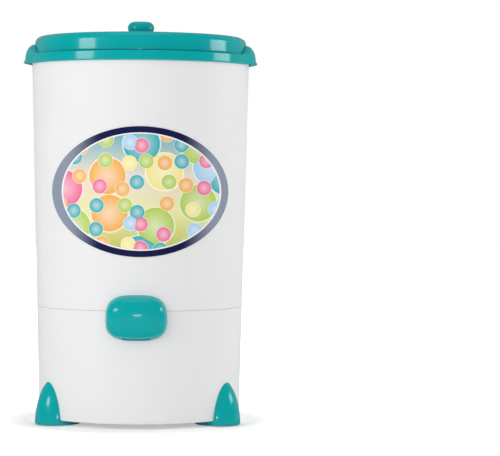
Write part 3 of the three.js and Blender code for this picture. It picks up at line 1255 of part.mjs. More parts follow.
addPiece('shaft', STEEL, mainShaft());
addPiece('brake_drum', STEEL, brakeDrum());
addPiece('rotor_core', STEEL, ring(shaftBore, STATOR_BORE - AIR_GAP, statorBottom - ROTOR_OVERHANG,
  statorTop + ROTOR_OVERHANG));
addPiece('lower_bearing', STEEL, ring(shaftBore, BEARING_RADIUS, lowBearingBottom,
  lowBearingBottom + BEARING_WIDTH - FIT_GAP));
addPiece('upper_bearing', STEEL, ring(shaftBore, BEARING_RADIUS, highBearingBottom, highBearingTop));
addPiece('motor_lower_housing', ALUMINIUM, motorLowerHousing());
addPiece('motor_upper_housing', ALUMINIUM, motorUpperHousing());
addPiece('stator_core', STEEL, ring(STATOR_BORE, MOTOR_RADIUS - MOTOR_WALL - FIT_GAP,
  statorBottom, statorTop));
addPiece('winding_lower', COPPER, ring(WINDING_INNER, WINDING_OUTER,
  statorBottom - FIT_GAP - WINDING_HEIGHT, statorBottom - FIT_GAP));
addPiece('winding_upper', COPPER, ring(WINDING_INNER, WINDING_OUTER,
  statorTop + FIT_GAP, statorTop + FIT_GAP + WINDING_HEIGHT));
addPiece('motor_plate', STEEL, motorPlate());
motorBoltAngles.forEach((angle, i) => addPiece(`motor_bolt_${i + 1}`, STEEL, motorBolt(angle)));
for (const [place, angle] of Object.entries(springAngles)) {
  addPiece(`suspension_spring_${place}`, STEEL, suspensionSpring(angle));
}
addPiece('shaft_seal', RUBBER, shaftSeal());
addPiece('brake_lever', STEEL, fromRight(brakeLever(), LINKAGE_ANGLE));
addPiece('brake_pad', RUBBER, fromRight(brakePad(), LINKAGE_ANGLE));
addPiece('brake_pivot', STEEL, fromRight(brakePivot(), LINKAGE_ANGLE));
addPiece('brake_cable', STEEL, fromRight(brakeCable(), LINKAGE_ANGLE));
addPiece('interlock_plunger', BLACK, fromRight(interlockPlunger(), LINKAGE_ANGLE));
addPiece('micro_switch', BLACK, fromRight(microSwitch(), LINKAGE_ANGLE));
addPiece('cable_duct', WHITE, fromRight(cableDuct(), LINKAGE_ANGLE));
addPiece('capacitor', ALUMINIUM, fromRight(capacitorCan(), CAPACITOR_ANGLE));
addPiece('capacitor_clip', STEEL, fromRight(capacitorClip(), CAPACITOR_ANGLE));
addPiece('cord_gland', BLACK, cordGland());
addPiece('terminal_block', WHITE, terminalBlock());

export default group;
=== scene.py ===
"""Looks of an upright laundry spin dryer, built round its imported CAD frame.

Blender works in metres, +Z up, with the front facing -Y. Sizes below are in millimetres, and a
mesh is brought to metres when it is finished.
"""

import json
from math import atan2, cos, degrees, hypot, pi, radians, sin, sqrt

import bmesh
import bpy
from mathutils import Matrix, Vector


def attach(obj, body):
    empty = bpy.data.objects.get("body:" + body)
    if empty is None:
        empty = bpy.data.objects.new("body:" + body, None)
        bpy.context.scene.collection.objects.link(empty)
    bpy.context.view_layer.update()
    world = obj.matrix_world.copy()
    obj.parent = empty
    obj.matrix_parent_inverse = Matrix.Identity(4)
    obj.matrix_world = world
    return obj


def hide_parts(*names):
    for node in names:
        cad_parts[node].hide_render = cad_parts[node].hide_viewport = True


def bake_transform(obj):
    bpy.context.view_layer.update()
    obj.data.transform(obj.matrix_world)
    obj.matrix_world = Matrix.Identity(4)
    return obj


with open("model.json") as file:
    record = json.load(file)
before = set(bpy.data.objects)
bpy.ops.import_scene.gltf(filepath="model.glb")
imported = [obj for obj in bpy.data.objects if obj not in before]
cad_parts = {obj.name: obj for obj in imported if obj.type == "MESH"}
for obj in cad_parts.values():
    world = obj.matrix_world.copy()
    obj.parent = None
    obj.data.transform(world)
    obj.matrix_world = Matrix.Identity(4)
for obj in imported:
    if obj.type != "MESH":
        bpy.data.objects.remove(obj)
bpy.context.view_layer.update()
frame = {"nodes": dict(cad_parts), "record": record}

MM = 0.001
WELD = 1e-4  # points closer than this become one
ORIGIN = (0, 0, 0)
UP = (0, 0, 1)

# ---- Fineness of the meshes ----
ROUND_STEPS = 192  # round the body, ring and lid
SMALL_STEPS = 64  # round a knob, foot or screw
BAR_STEPS = 32
ROUNDING_STEPS = 4
ARC_STEPS = 16  # along a wide arc of an outline
BEND_STEPS = 6  # along a bend in a wall or sheet

# ---- Roundings of small edges, from the sharpest to the roundest ----
CRISP = 0.3
FINE = 0.4
SLIGHT = 0.5
SOFT = 0.6
FULL = 0.8
BROAD = 1

PAST = 1  # how far a body goes past the one that it cuts or joins

# ---- Cabinet ----
DECK_HEIGHT = 594.5
DECK_UNDERSIDE = 591.2
BODY_BOTTOM = 9
BODY_TOP = 590.9
BODY_FOOT_RADIUS = 163.3
BODY_TOP_RADIUS = 176.7
BODY_WALL = 3
SEAM_HEIGHT = 186.8
SEAM_GAP = 0.3
SEAM_CHAMFER = 0.5
FIT_GAP = 0.3
FLOOR_THICKNESS = 3
VENT_PLACE = 24
VENT_RADIUS = 7
VENT_COUNT = 6
GLAND_ANGLE = 210
GLAND_HEIGHT = 46
GLAND_RADIUS = 7

# ---- Ring and handles ----
RING_INNER = 177
RING_OUTER = 180
RING_BOTTOM = 579
EDGE_ROUNDING = 1.5
EDGE_HOLD = 2.5  # from a rounded edge to the line that keeps the wall beside it flat
FUNNEL_TOP_RADIUS = 101
FUNNEL_LOW_RADIUS = 92.5
FUNNEL_WALL = 2.5
FUNNEL_BOTTOM = 558
HANDLE_REACH = 190.8
HANDLE_INNER = 172.3
HANDLE_TOP = 611.3
HANDLE_LIP = 588
HANDLE_LIP_BOTTOM = 581.2
HANDLE_FLARE = 3
HANDLE_FLARE_SHARE = 0.62  # of the flare that is left behind halfway up the lip
HANDLE_WALL = 2.6
HANDLE_FULL_ANGLE = 6
HANDLE_FADE_ANGLE = 15
HANDLE_TOP_EDGE = 0.6
HOLLOW_INNER = 175.6
INSIDE_POINTS = 22  # of the ring's section, stage by stage
LIP_POINTS = 3
OUTSIDE_POINTS = 30
TOP_POINTS = 9
HINGE_Y = 185.3
HINGE_Z = 603
KNUCKLE_RADIUS = 5.5
KNUCKLE_HALF_WIDTH = 11.7
HINGE_LUG_WIDTH = 10
HINGE_BORE = 2.8
PIN_RADIUS = 2.5
PIN_REACH = 23

# ---- Lid, knob and lock ----
LID_RADIUS = 172
LID_BOTTOM = 597
LID_RIM = 595.3  # the lid's outer edge, just above the deck
LID_SHOULDER = 613
SHOULDER_WIDTH = 12
SHOULDER_HEIGHT = 11
SHOULDER_HOLD = 6  # from the shoulder down to the line that keeps the side flat
SHOULDER_STEPS = 12
SHOULDER_INSIDE_STEPS = 8
LID_CROWN = 4
CROWN_RINGS = (0.9, 0.75, 0.6, 0.45, 0.3, 0.15)  # shares of the flat top's radius
LID_WALL = 2.5
ARM_SHARE = 0.9  # of the knuckle's height that the lid's hinge arm has
ARM_INSET = 0.4
KNOB_BOTTOM = 628.3
KNOB_TOP = 650
KNOB_RADIUS = 21.6
KNOB_NECK_RADIUS = 18.8
KNOB_FLAT_RADIUS = 12
KNOB_SHOULDER = 10
SPINDLE_BORE = 5.3
SPINDLE_ROOM = 13.3
BOLT_SLOT_HALF_WIDTH = 5.8
BOLT_SLOT_BOTTOM = 599.5
BOLT_SLOT_TOP = 604.6
BOLT_SLOT_INSET = 0.4  # by which the lid's slots are narrower than the ring's

LINER_RADIUS = 169.2
LINER_BOTTOM = 597.5
LINER_TOP = 600
LINER_DISH_RADIUS = 92
LINER_DISH_DEPTH = 1.2
LINER_DISH_SLOPE = 3
LINER_GROOVE_RADIUS = 148
LINER_GROOVE_WIDTH = 4
LINER_GROOVE_SLOPE = 1
GASKET_RADIUS = 109
GASKET_HALF_WIDTH = 3
GASKET_BOTTOM = 594.8
GASKET_TOP = 597.2
GASKET_FLANK = 0.9  # height of its upright sides

# ---- Drum ----
DRUM_RADIUS = 125
DRUM_BOTTOM = 222
DRUM_TOP = 552
DRUM_WALL = 1.5
DRUM_CORNER = 6
DRUM_FLOOR_HOLD = 12  # from the corner in to the line that keeps the floor flat
DRUM_MOUTH_RADIUS = 95
DRUM_MOUTH_BEND = 3
DRUM_LIP_DROP = 6
DRUM_BORE = 6.3
DRUM_BEAD = 2.5  # depth of the beads pressed into the wall
DRUM_BEAD_HEIGHTS = (262, 512)
DRUM_BEAD_STEPS = 10
DRUM_HOLE_RADIUS = 3
DRUM_HOLE_COLUMNS = 36
DRUM_HOLE_ROWS = 15
DRUM_HOLES_LOW = 276
DRUM_HOLES_HIGH = 498
NUT_RADIUS = 11
NUT_BOTTOM = 223.8
NUT_HEIGHT = 16
NUT_DOME_RADIUS = 8.58

# ---- Small fittings ----
PLUNGER_PLACE = 150
PLUNGER_ANGLE = 145
PLUNGER_HOLE = 3.4
SEAM_SCREW_ANGLES = {"right": 130, "rear": 180, "left": 230}
SEAM_SCREW_HEIGHT = 191.4
SCREW_HEAD_RADIUS = 4
SCREW_HEAD_HEIGHT = 2.4
SCREW_RADIUS = 2
SCREW_LENGTH = 6
SCREW_DOME_STEPS = 10
RECESS_WIDTH = 1.1
RECESS_LENGTH = 4.2
RECESS_DEPTH = 1.2
GLAND_FLANGE_RADIUS = 11
GLAND_FLANGE = 4
GLAND_RIM = 1.8  # height of the flange at its edge
GLAND_BORE = 4
GLAND_BORE_FLARE = 1
GLAND_SLEEVE = 9  # how far the sleeve goes on inside the wall

# ---- Hood, badge and feet ----
HOOD_HALF_WIDTH = 48.6
HOOD_HALF_HEIGHT = 36.8
HOOD_TAPER = 0.03  # narrower at its top, wider at its bottom
HOOD_MIDDLE = 176.8
HOOD_FRONT = 190.76
HOOD_BASE = 154.96
HOOD_OUTLINE_POWER = 2.9
HOOD_DOME_POWER = 2.6
HOOD_WALL = 2.5
HOOD_MOUTH_HALF_WIDTH = 22
HOOD_MOUTH_DEPTH = 8.6
HOOD_MOUTH_RIM = 1.4
HOOD_PAST = 5
HOOD_STEPS = 96
BADGE_HALF_WIDTH = 139.4
BADGE_HALF_HEIGHT = 102
BADGE_MIDDLE = 374
BADGE_TURN = 2  # round the body from the front, in degrees
BADGE_THICKNESS = 0.6
BADGE_RINGS = 24
BADGE_SHIFT = 6.0  # where that turn brings its middle
FOOT_PLACE = 148
FOOT_RADIUS = 36.6
FOOT_HEIGHT = 77
FOOT_BOTTOM = 1.5
FOOT_HOLD = 2  # from the foot's bottom up to the first line of its dome
FOOT_STEPS = 24
FOOT_ANGLES = {"right": 60, "rear": 180, "left": 300}
PAD_RADIUS = 21
PAD_THICKNESS = 4.2
PAD_BORE = 4.8

# ---- Springs under the motor plate, and the rubber sleeve between motor and tub ----
SPRING_PLACE = 95
SPRING_ANGLES = {"front": 0, "right": 120, "left": 240}
SPRING_COIL_RADIUS = 9.5
SPRING_WIRE_RADIUS = 1.5
SPRING_BOTTOM = 26.3
SPRING_TOP = 57
SPRING_TURNS = 4
SPRING_STEPS = 28  # round one turn
SPRING_WIRE_STEPS = 10
SLEEVE_INNER = 22.3
SLEEVE_OUTER = 29.7
SLEEVE_WALL = 2
SLEEVE_BOTTOM = 165.9
SLEEVE_FOLD = 175.9
SLEEVE_TOP = 205

# ---- Building blocks ----


def body_radius(height):
    share = (height - BODY_BOTTOM) / (BODY_TOP - BODY_BOTTOM)
    return BODY_FOOT_RADIUS + (BODY_TOP_RADIUS - BODY_FOOT_RADIUS) * share


def mix(start, end, share):
    return start + (end - start) * share


def arc(middle, half_width, half_height, start, end, steps):
    """Points of an elliptic arc, as (across, up), from one angle to another in degrees."""
    turns = [radians(mix(start, end, i / steps)) for i in range(steps + 1)]
    return [(middle[0] + half_width * cos(t), middle[1] + half_height * sin(t)) for t in turns]


def outline(bm, corners, axis="x"):
    """A flat face through (across, up, rounding) corners, whose corners are rounded."""
    flat = [(across, 0, up) if axis == "x" else (0, across, up) for across, up, *_ in corners]
    verts = [bm.verts.new(place) for place in flat]
    bm.faces.new(verts)
    for vert, corner in zip(verts, corners):
        if len(corner) > 2:
            rounded(bm, [vert], corner[2], "VERTICES")


def rounded(bm, items, offset, affect, segments=ROUNDING_STEPS):
    return bmesh.ops.bevel(bm, geom=items, offset=offset, offset_type="OFFSET", affect=affect,
                           segments=segments, profile=0.5, material=-1)


def open_line(bm, points):
    """Points joined one after another by edges."""
    verts = [bm.verts.new(place) for place in points]
    for first, second in zip(verts, verts[1:]):
        bm.edges.new((first, second))


def wound(bm, steps, turns=1, climb=0):
    """Takes a line or face round Z. A level turn closes on itself, a climbing one stays open."""
    bmesh.ops.spin(bm, geom=bm.verts[:] + bm.edges[:] + bm.faces[:], cent=ORIGIN, axis=UP,
                   dvec=(0, 0, climb), angle=2 * pi * turns, steps=steps, use_merge=not climb,
                   use_normal_flip=False, use_duplicate=False)


def spun(bm, steps):
    """Turns a flat outline a full round about Z. An edge that lies on the axis stays out."""
    bmesh.ops.delete(bm, geom=list(bm.faces), context="FACES_ONLY")
    on_axis = [e for e in bm.edges if all(hypot(v.co.x, v.co.y) < WELD for v in e.verts)]
    bmesh.ops.delete(bm, geom=on_axis, context="EDGES")
    wound(bm, steps)
    return welded(bm)


def welded(bm):
    bmesh.ops.remove_doubles(bm, verts=bm.verts, dist=WELD)
    bmesh.ops.recalc_face_normals(bm, faces=bm.faces)
    return bm


def turned(corners, steps=ROUND_STEPS):
    bm = bmesh.new()
    outline(bm, corners)
    return spun(bm, steps)


def moved(bm, offset=ORIGIN, turn=0, axis="Z"):
    """A body turned about an axis by degrees, then moved."""
    bmesh.ops.rotate(bm, cent=ORIGIN, matrix=Matrix.Rotation(radians(turn), 3, axis), verts=bm.verts)
    bmesh.ops.translate(bm, vec=offset, verts=bm.verts)
    return bm


def at_angle(bm, angle):
    """A body built at the front, taken round the axis by degrees."""
    return moved(bm, turn=angle)


def bar(start, end, radius, steps=BAR_STEPS, edge=0):
    """A round bar between two points, its end edges rounded."""
    along = Vector(end) - Vector(start)
    rim = (edge,) if edge else ()
    bm = turned([(0, 0), (radius, 0, *rim), (radius, along.length, *rim), (0, along.length)], steps)
    turn = along.to_track_quat("Z", "Y").to_matrix()
    bmesh.ops.rotate(bm, cent=ORIGIN, matrix=turn, verts=bm.verts)
    return moved(bm, start)


def block(low, high, edge=0):
    """A box between two corners, its edges rounded."""
    bm = bmesh.new()
    bmesh.ops.create_cube(bm, size=1)
    size = Vector(high) - Vector(low)
    bmesh.ops.scale(bm, vec=size, verts=bm.verts)
    bmesh.ops.translate(bm, vec=(Vector(low) + Vector(high)) / 2, verts=bm.verts)
    if edge:
        rounded(bm, bm.edges[:], edge, "EDGES")
    return bm


def plate(corners, half_width, edge=0):
    """An outline of (along Y, up) corners made into a plate across X."""
    bm = bmesh.new()
    outline(bm, corners, axis="y")
    grown = bmesh.ops.extrude_face_region(bm, geom=bm.faces[:])
    new = [item for item in grown["geom"] if isinstance(item, bmesh.types.BMVert)]
    bmesh.ops.translate(bm, vec=(2 * half_width, 0, 0), verts=new)
    bmesh.ops.translate(bm, vec=(-half_width, 0, 0), verts=bm.verts)
    welded(bm)
    if edge:
        rims = [e for e in bm.edges if abs(e.verts[0].co.x - e.verts[1].co.x) < WELD]
        rounded(bm, rims, edge, "EDGES", segments=2)
    return bm


def shown(name, data):
    """A new object in the scene, made of a mesh, a camera or a lamp."""
    thing = bpy.data.objects.new(name, data)
    bpy.context.scene.collection.objects.link(thing)
    return thing


def solid(name, bm):
    """A new object made of a finished body."""
    mesh = bpy.data.meshes.new(name)
    bm.to_mesh(mesh)
    bm.free()
    return shown(name, mesh)


def worked(bm, tools, operation):
    """A body with other bodies cut from it (DIFFERENCE) or joined to it (UNION)."""
    base = solid("loose", bm)
    others = [solid("loose", tool) for tool in tools]
    for other in others:
        step = base.modifiers.new("work", "BOOLEAN")
        step.operation = operation
        step.solver = "EXACT"
        step.object = other
    result = bmesh.new()
    result.from_object(base, bpy.context.evaluated_depsgraph_get())
    for holder in [base, *others]:
        bpy.data.meshes.remove(holder.data)
    bmesh.ops.dissolve_degenerate(result, dist=WELD, edges=result.edges)
    return result


def cut(bm, *tools):
    return worked(bm, tools, "DIFFERENCE")


def joined(bm, *tools):
    return worked(bm, tools, "UNION")


def piece(name, bm, slot, body, *nodes, sharp=32):
    """Finishes a body as a piece that stands for CAD nodes and moves with a CAD body, if one is given."""
    welded(bm)
    bmesh.ops.scale(bm, vec=(MM, MM, MM), verts=bm.verts)
    made = solid(name, bm)
    made.data.materials.append(FINISHES[slot])
    made.data.shade_smooth()
    made.data.set_sharp_from_angle(angle=radians(sharp))
    if body:
        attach(made, body)
    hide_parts(*nodes)
    return made


# ---- Finishes ----

NOISE_LOW = 0.3  # a noise's values lie mostly between these two
NOISE_HIGH = 0.7
CLOUD_SCALE = 9.0  # of the noises in a plastic's colour, skin and gloss
SKIN_SCALE = 900.0
FLOW_SCALE = 30.0
FLOW_STRETCH = (1, 1, 0.25)
GLOSS_SPREAD = 0.15
PLASTIC_IOR = 1.49
FILM_IOR = 1.3
STAIN_SCALE = 18.0
RUBBER_DARK = (0.012, 0.012, 0.013)
RUBBER_DUSTY = (0.03, 0.03, 0.031)


class Nodes:
    """A material or world whose nodes are made and linked with short calls."""

    def __init__(self, owner):
        owner.use_nodes = True
        self.tree = owner.node_tree
        self.tree.nodes.clear()

    def add(self, kind, inputs=(), **settings):
        node = self.tree.nodes.new(kind)
        for name, value in settings.items():
            setattr(node, name, value)
        for name, value in dict(inputs).items():
            if isinstance(value, bpy.types.NodeSocket):
                self.tree.links.new(value, node.inputs[name])
            else:
                node.inputs[name].default_value = value
        return node

    def math(self, operation, first, second=0.0, clamp=False):
        inputs = {0: first, 1: second}
        return self.add("ShaderNodeMath", inputs, operation=operation, use_clamp=clamp).outputs[0]

    def place(self, scale=(1, 1, 1)):
        """Object coordinates, stretched by a scale."""
        source = self.add("ShaderNodeTexCoord").outputs["Object"]
        return self.add("ShaderNodeMapping", {"Vector": source, "Scale": scale}).outputs[0]

    def noise(self, place, scale, detail=3.0, roughness=0.5):
        inputs = {"Vector": place, "Scale": scale, "Detail": detail, "Roughness": roughness}
        return self.add("ShaderNodeTexNoise", inputs).outputs["Fac"]

    def ramp(self, value, low, high):
        """A value from 0 to 1 spread between two colours or, given numbers, between two greys."""
        node = self.add("ShaderNodeValToRGB", {"Fac": value})
        for element, colour in zip(node.color_ramp.elements, (low, high)):
            element.color = (*colour, 1) if isinstance(colour, tuple) else (colour, colour, colour, 1)
        node.color_ramp.elements[0].position = NOISE_LOW
        node.color_ramp.elements[1].position = NOISE_HIGH
        return node.outputs["Color"]

    def bump(self, height, strength, distance=0.0002):
        inputs = {"Height": height, "Strength": strength, "Distance": distance}
        return self.add("ShaderNodeBump", inputs).outputs["Normal"]

    def mixed(self, share, first, second):
        node = self.add("ShaderNodeMix", data_type="RGBA")
        for socket, value in zip((node.inputs[0], node.inputs[6], node.inputs[7]), (share, first, second)):
            if isinstance(value, bpy.types.NodeSocket):
                self.tree.links.new(value, socket)
            else:
                socket.default_value = value if isinstance(value, float) else (*value, 1)
        return node.outputs[2]

    def mapped(self, value, start, end, low=0.0, high=1.0, **settings):
        """A value's way from start to end as the way from low to high, and level beyond both."""
        inputs = {"Value": value, "From Min": start, "From Max": end, "To Min": low, "To Max": high}
        return self.add("ShaderNodeMapRange", inputs, **settings).outputs[0]

    def length(self, *parts):
        """How long a flat vector with these two parts is."""
        squares = [self.math("POWER", self.math("ABSOLUTE", part), 2.0) for part in parts]
        return self.math("SQRT", self.math("ADD", *squares))

    def principled(self, inputs):
        """The material's surface."""
        shader = self.add("ShaderNodeBsdfPrincipled", inputs)
        self.add("ShaderNodeOutputMaterial", {"Surface": shader.outputs[0]})


def shade(colour, factor):
    return tuple(channel * factor for channel in colour)


def moulded(name, colour, roughness, grain, variation=0.04):
    """Moulded plastic: faint cloudiness, a fine skin texture and slightly uneven gloss."""
    material = bpy.data.materials.new(name)
    nodes = Nodes(material)
    place = nodes.place()
    clouds = nodes.noise(place, CLOUD_SCALE)
    skin = nodes.noise(place, SKIN_SCALE, detail=2.0)
    flow = nodes.noise(nodes.place(FLOW_STRETCH), FLOW_SCALE)
    inputs = {
        "Base Color": nodes.ramp(clouds, shade(colour, 1 - variation), colour),
        "Roughness": nodes.ramp(flow, roughness * (1 - GLOSS_SPREAD), roughness * (1 + GLOSS_SPREAD)),
        "Normal": nodes.bump(skin, grain),
        "IOR": PLASTIC_IOR,
    }
    nodes.principled(inputs)
    return material


def rubbery(name):
    """Matt black rubber, a little dusty in patches."""
    material = bpy.data.materials.new(name)
    nodes = Nodes(material)
    place = nodes.place()
    inputs = {
        "Base Color": nodes.ramp(nodes.noise(place, 40.0), RUBBER_DARK, RUBBER_DUSTY),
        "Roughness": nodes.ramp(nodes.noise(place, 120.0), 0.62, 0.8),
        "Normal": nodes.bump(nodes.noise(place, 1500.0), 0.35),
    }
    nodes.principled(inputs)
    return material


def metal(name, colour, roughness, stretch, scale, grain=0.12, stain=0.12, metallic=1.0):
    """Metal with fine lines along the directions whose stretch is small, and faint staining."""
    material = bpy.data.materials.new(name)
    nodes = Nodes(material)
    lines = nodes.noise(nodes.place(stretch), scale, detail=4.0, roughness=0.6)
    patches = nodes.noise(nodes.place(), STAIN_SCALE)
    inputs = {
        "Base Color": nodes.ramp(patches, shade(colour, 1 - stain), colour),
        "Metallic": metallic,
        "Roughness": nodes.ramp(lines, roughness * 0.8, roughness * 1.25),
        "Normal": nodes.bump(lines, grain),
    }
    nodes.principled(inputs)
    return material


# ---- The badge's print ----

LINE_START = 0.885  # where the line starts and ends, as shares of the way to the oval's edge
LINE_END = 0.905
LINE_WHITE = (0.86, 0.87, 0.9)
BORDER_NAVY = (0.004, 0.005, 0.07)
BORDER_SILVER = (0.26, 0.3, 0.38)
NAVY_END = 0.45  # the border is navy up to here, as a share of the half width
SILVER_START = 0.85  # and silver from here
GROUND_COLOURS = [  # from the oval's bottom to its top
    (0.0, (0.45, 0.5, 0.05)), (0.35, (0.85, 0.8, 0.4)), (0.62, (0.8, 0.72, 0.62)), (1.0, (0.01, 0.4, 0.48)),
]
BUBBLE_LAYERS = [(15.0, 0.46, 0.0), (30.0, 0.36, 3.7)]  # closeness, size and shift
BUBBLE_SCATTER = 0.75
BUBBLE_PALENESS = 0.45  # in its middle
BUBBLE_COLOURS = [
    (0.0, (0.0, 0.4, 0.45)), (0.18, (0.85, 0.12, 0.3)), (0.38, (0.9, 0.42, 0.04)),
    (0.56, (0.45, 0.62, 0.05)), (0.76, (0.9, 0.8, 0.25)), (0.9, (0.35, 0.62, 0.85)),
]
RIM_START = 0.93  # share of a bubble's radius
RIM_STRENGTH = 0.7
RIM_WHITE = (0.95, 0.97, 0.98)


def badge_print():
    """Printed film: a silver and navy border, a white line, and a field of soft coloured bubbles."""
    material = bpy.data.materials.new("badge_print")
    nodes = Nodes(material)
    source = nodes.add("ShaderNodeTexCoord").outputs["Object"]
    parts = nodes.add("ShaderNodeSeparateXYZ", {"Vector": source})
    centred_x = nodes.math("SUBTRACT", parts.outputs["X"], BADGE_SHIFT * MM)
    across = nodes.math("DIVIDE", centred_x, BADGE_HALF_WIDTH * MM)
    centred = nodes.math("SUBTRACT", parts.outputs["Z"], BADGE_MIDDLE * MM)
    up = nodes.math("DIVIDE", centred, BADGE_HALF_HEIGHT * MM)
    reach = nodes.length(across, up)
    flat = nodes.add("ShaderNodeCombineXYZ", {"X": parts.outputs["X"], "Y": centred}).outputs[0]

    lifted = nodes.math("ADD", nodes.math("MULTIPLY", up, 0.5), 0.5)
    ground = nodes.add("ShaderNodeValToRGB", {"Fac": lifted})
    set_stops(ground, GROUND_COLOURS)
    colour = ground.outputs["Color"]
    for layer in BUBBLE_LAYERS:
        colour = bubbles(nodes, flat, colour, *layer)

    sides = nodes.mapped(nodes.math("ABSOLUTE", across), NAVY_END, SILVER_START,
                         interpolation_type="SMOOTHSTEP")
    border = nodes.mixed(sides, BORDER_NAVY, BORDER_SILVER)
    with_line = nodes.mixed(nodes.math("GREATER_THAN", reach, LINE_START), colour, LINE_WHITE)
    whole = nodes.mixed(nodes.math("GREATER_THAN", reach, LINE_END), with_line, border)
    inputs = {
        "Base Color": whole,
        "Roughness": nodes.ramp(nodes.noise(nodes.place(), 60.0), 0.38, 0.46),
        "Normal": nodes.bump(nodes.noise(nodes.place(), 700.0), 0.03),
        "IOR": FILM_IOR,
    }
    nodes.principled(inputs)
    return material


def set_stops(ramp, stops):
    """Gives a colour ramp its (position, colour) stops."""
    elements = ramp.color_ramp.elements
    while len(elements) < len(stops):
        elements.new(0.5)
    for element, (position, colour) in zip(elements, stops):
        element.position = position
        element.color = (*colour, 1)


def bubbles(nodes, flat, under, scale, size, shift):
    """A layer of round bubbles over another colour, each with its own colour and a pale rim."""
    place = nodes.add("ShaderNodeMapping", {"Vector": flat, "Location": (shift, shift, 0)}).outputs[0]
    inputs = {"Vector": place, "Scale": scale, "Randomness": BUBBLE_SCATTER}
    cells = nodes.add("ShaderNodeTexVoronoi", inputs, voronoi_dimensions="2D")
    distance = cells.outputs["Distance"]
    draw = nodes.add("ShaderNodeSeparateColor", {"Color": cells.outputs["Color"]})
    palette = nodes.add("ShaderNodeValToRGB", {"Fac": draw.outputs[0]})
    palette.color_ramp.interpolation = "CONSTANT"
    set_stops(palette, BUBBLE_COLOURS)
    inside = nodes.math("SUBTRACT", 1.0, nodes.math("DIVIDE", distance, size))
    paleness = nodes.math("MULTIPLY", inside, BUBBLE_PALENESS, clamp=True)
    body = nodes.mixed(paleness, palette.outputs["Color"], (1.0, 1.0, 1.0))
    covered = nodes.math("LESS_THAN", distance, size)
    rim = nodes.math("MULTIPLY", covered, nodes.math("GREATER_THAN", distance, size * RIM_START))
    layer = nodes.mixed(covered, under, body)
    return nodes.mixed(nodes.math("MULTIPLY", rim, RIM_STRENGTH), layer, RIM_WHITE)


# ---- One finish for each material slot ----

WHITE = (0.83, 0.83, 0.835)
TEAL = (0.0, 0.385, 0.395)
GREY = (0.42, 0.44, 0.45)
BLACK = (0.02, 0.02, 0.022)
BRIGHT_METAL = (0.62, 0.62, 0.63)
DULL_METAL = (0.55, 0.56, 0.57)
RED_METAL = (0.55, 0.2, 0.07)

FINISHES = {
    "white_plastic": moulded("white_plastic", WHITE, 0.5, 0.05, variation=0.015),
    "teal_plastic": moulded("teal_plastic", TEAL, 0.13, 0.03),
    "grey_plastic": moulded("grey_plastic", GREY, 0.45, 0.15),
    "black_plastic": moulded("black_plastic", BLACK, 0.4, 0.2, variation=0.2),
    "rubber": rubbery("rubber"),
    "steel": metal("zinc_plated_steel", DULL_METAL, 0.36, (1, 1, 1), 300.0, metallic=0.8),
    "stainless": metal("stainless_steel", BRIGHT_METAL, 0.34, (1, 1, 40), 12.0, metallic=0.7),
    "aluminium": metal("cast_aluminium", DULL_METAL, 0.5, (1, 1, 1), 500.0, grain=0.4, metallic=0.8),
    "copper": metal("copper_winding", RED_METAL, 0.35, (1, 1, 30), 30.0, grain=0.4),
    "badge_film": badge_print(),
}

# ---- Cabinet pieces ----


def body_space(gap, bottom, top):
    """The room that the white body fills, grown by a gap."""
    wide, narrow = body_radius(top) + gap, body_radius(bottom) + gap
    return turned([(0, bottom), (narrow, bottom), (wide, top), (0, top)])


def upper_wall():
    low = SEAM_HEIGHT + SEAM_GAP
    return turned([
        (body_radius(low) - BODY_WALL, low),
        (body_radius(low), low, SEAM_CHAMFER),
        (body_radius(low + EDGE_HOLD), low + EDGE_HOLD),
        (BODY_TOP_RADIUS, BODY_TOP),
        (BODY_TOP_RADIUS - BODY_WALL, BODY_TOP),
    ])


def lower_wall():
    floor_top = BODY_BOTTOM + FLOOR_THICKNESS
    wall = turned([
        (0, BODY_BOTTOM),
        (BODY_FOOT_RADIUS, BODY_BOTTOM, EDGE_ROUNDING),
        (body_radius(BODY_BOTTOM + EDGE_HOLD), BODY_BOTTOM + EDGE_HOLD),
        (body_radius(SEAM_HEIGHT - EDGE_HOLD), SEAM_HEIGHT - EDGE_HOLD),
        (body_radius(SEAM_HEIGHT), SEAM_HEIGHT, SEAM_CHAMFER),
        (body_radius(SEAM_HEIGHT) - BODY_WALL, SEAM_HEIGHT),
        (body_radius(floor_top) - BODY_WALL, floor_top),
        (0, floor_top),
    ])
    vent_low, vent_high = (0, -VENT_PLACE, 0), (0, -VENT_PLACE, 2 * floor_top)
    vents = [at_angle(bar(vent_low, vent_high, VENT_RADIUS), 360 * i / VENT_COUNT) for i in range(VENT_COUNT)]
    gland_hole = bar((0, 0, GLAND_HEIGHT), (0, -RING_OUTER, GLAND_HEIGHT), GLAND_RADIUS + FIT_GAP)
    return cut(wall, at_angle(gland_hole, GLAND_ANGLE), *vents)


# ---- Ring with its deck, funnel and side handles ----


def spread(points, count):
    """A number of points spaced evenly along a line through some points."""
    lengths = [0]
    for (x0, z0), (x1, z1) in zip(points, points[1:]):
        lengths.append(lengths[-1] + hypot(x1 - x0, z1 - z0))
    found = []
    for i in range(count):
        target = lengths[-1] * i / (count - 1)
        k = max(j for j in range(len(points) - 1) if lengths[j] <= target + WELD)
        share = (target - lengths[k]) / (lengths[k + 1] - lengths[k])
        (x0, z0), (x1, z1) = points[k], points[k + 1]
        found.append((mix(x0, x1, share), mix(z0, z1, share)))
    return found


def handle_arch(inset):
    """The handle's arch from its lip up to its top, set in by a wall."""
    reach = HANDLE_REACH - inset
    halfway = mix(HANDLE_LIP_BOTTOM, HANDLE_LIP, 0.5)
    flare = [(reach, HANDLE_LIP_BOTTOM), (reach - HANDLE_FLARE * HANDLE_FLARE_SHARE, halfway)]
    lip = HANDLE_REACH - HANDLE_FLARE - inset
    return flare + arc((HANDLE_INNER, HANDLE_LIP), lip - HANDLE_INNER, HANDLE_TOP - HANDLE_LIP - inset,
                       0, 90, ARC_STEPS)


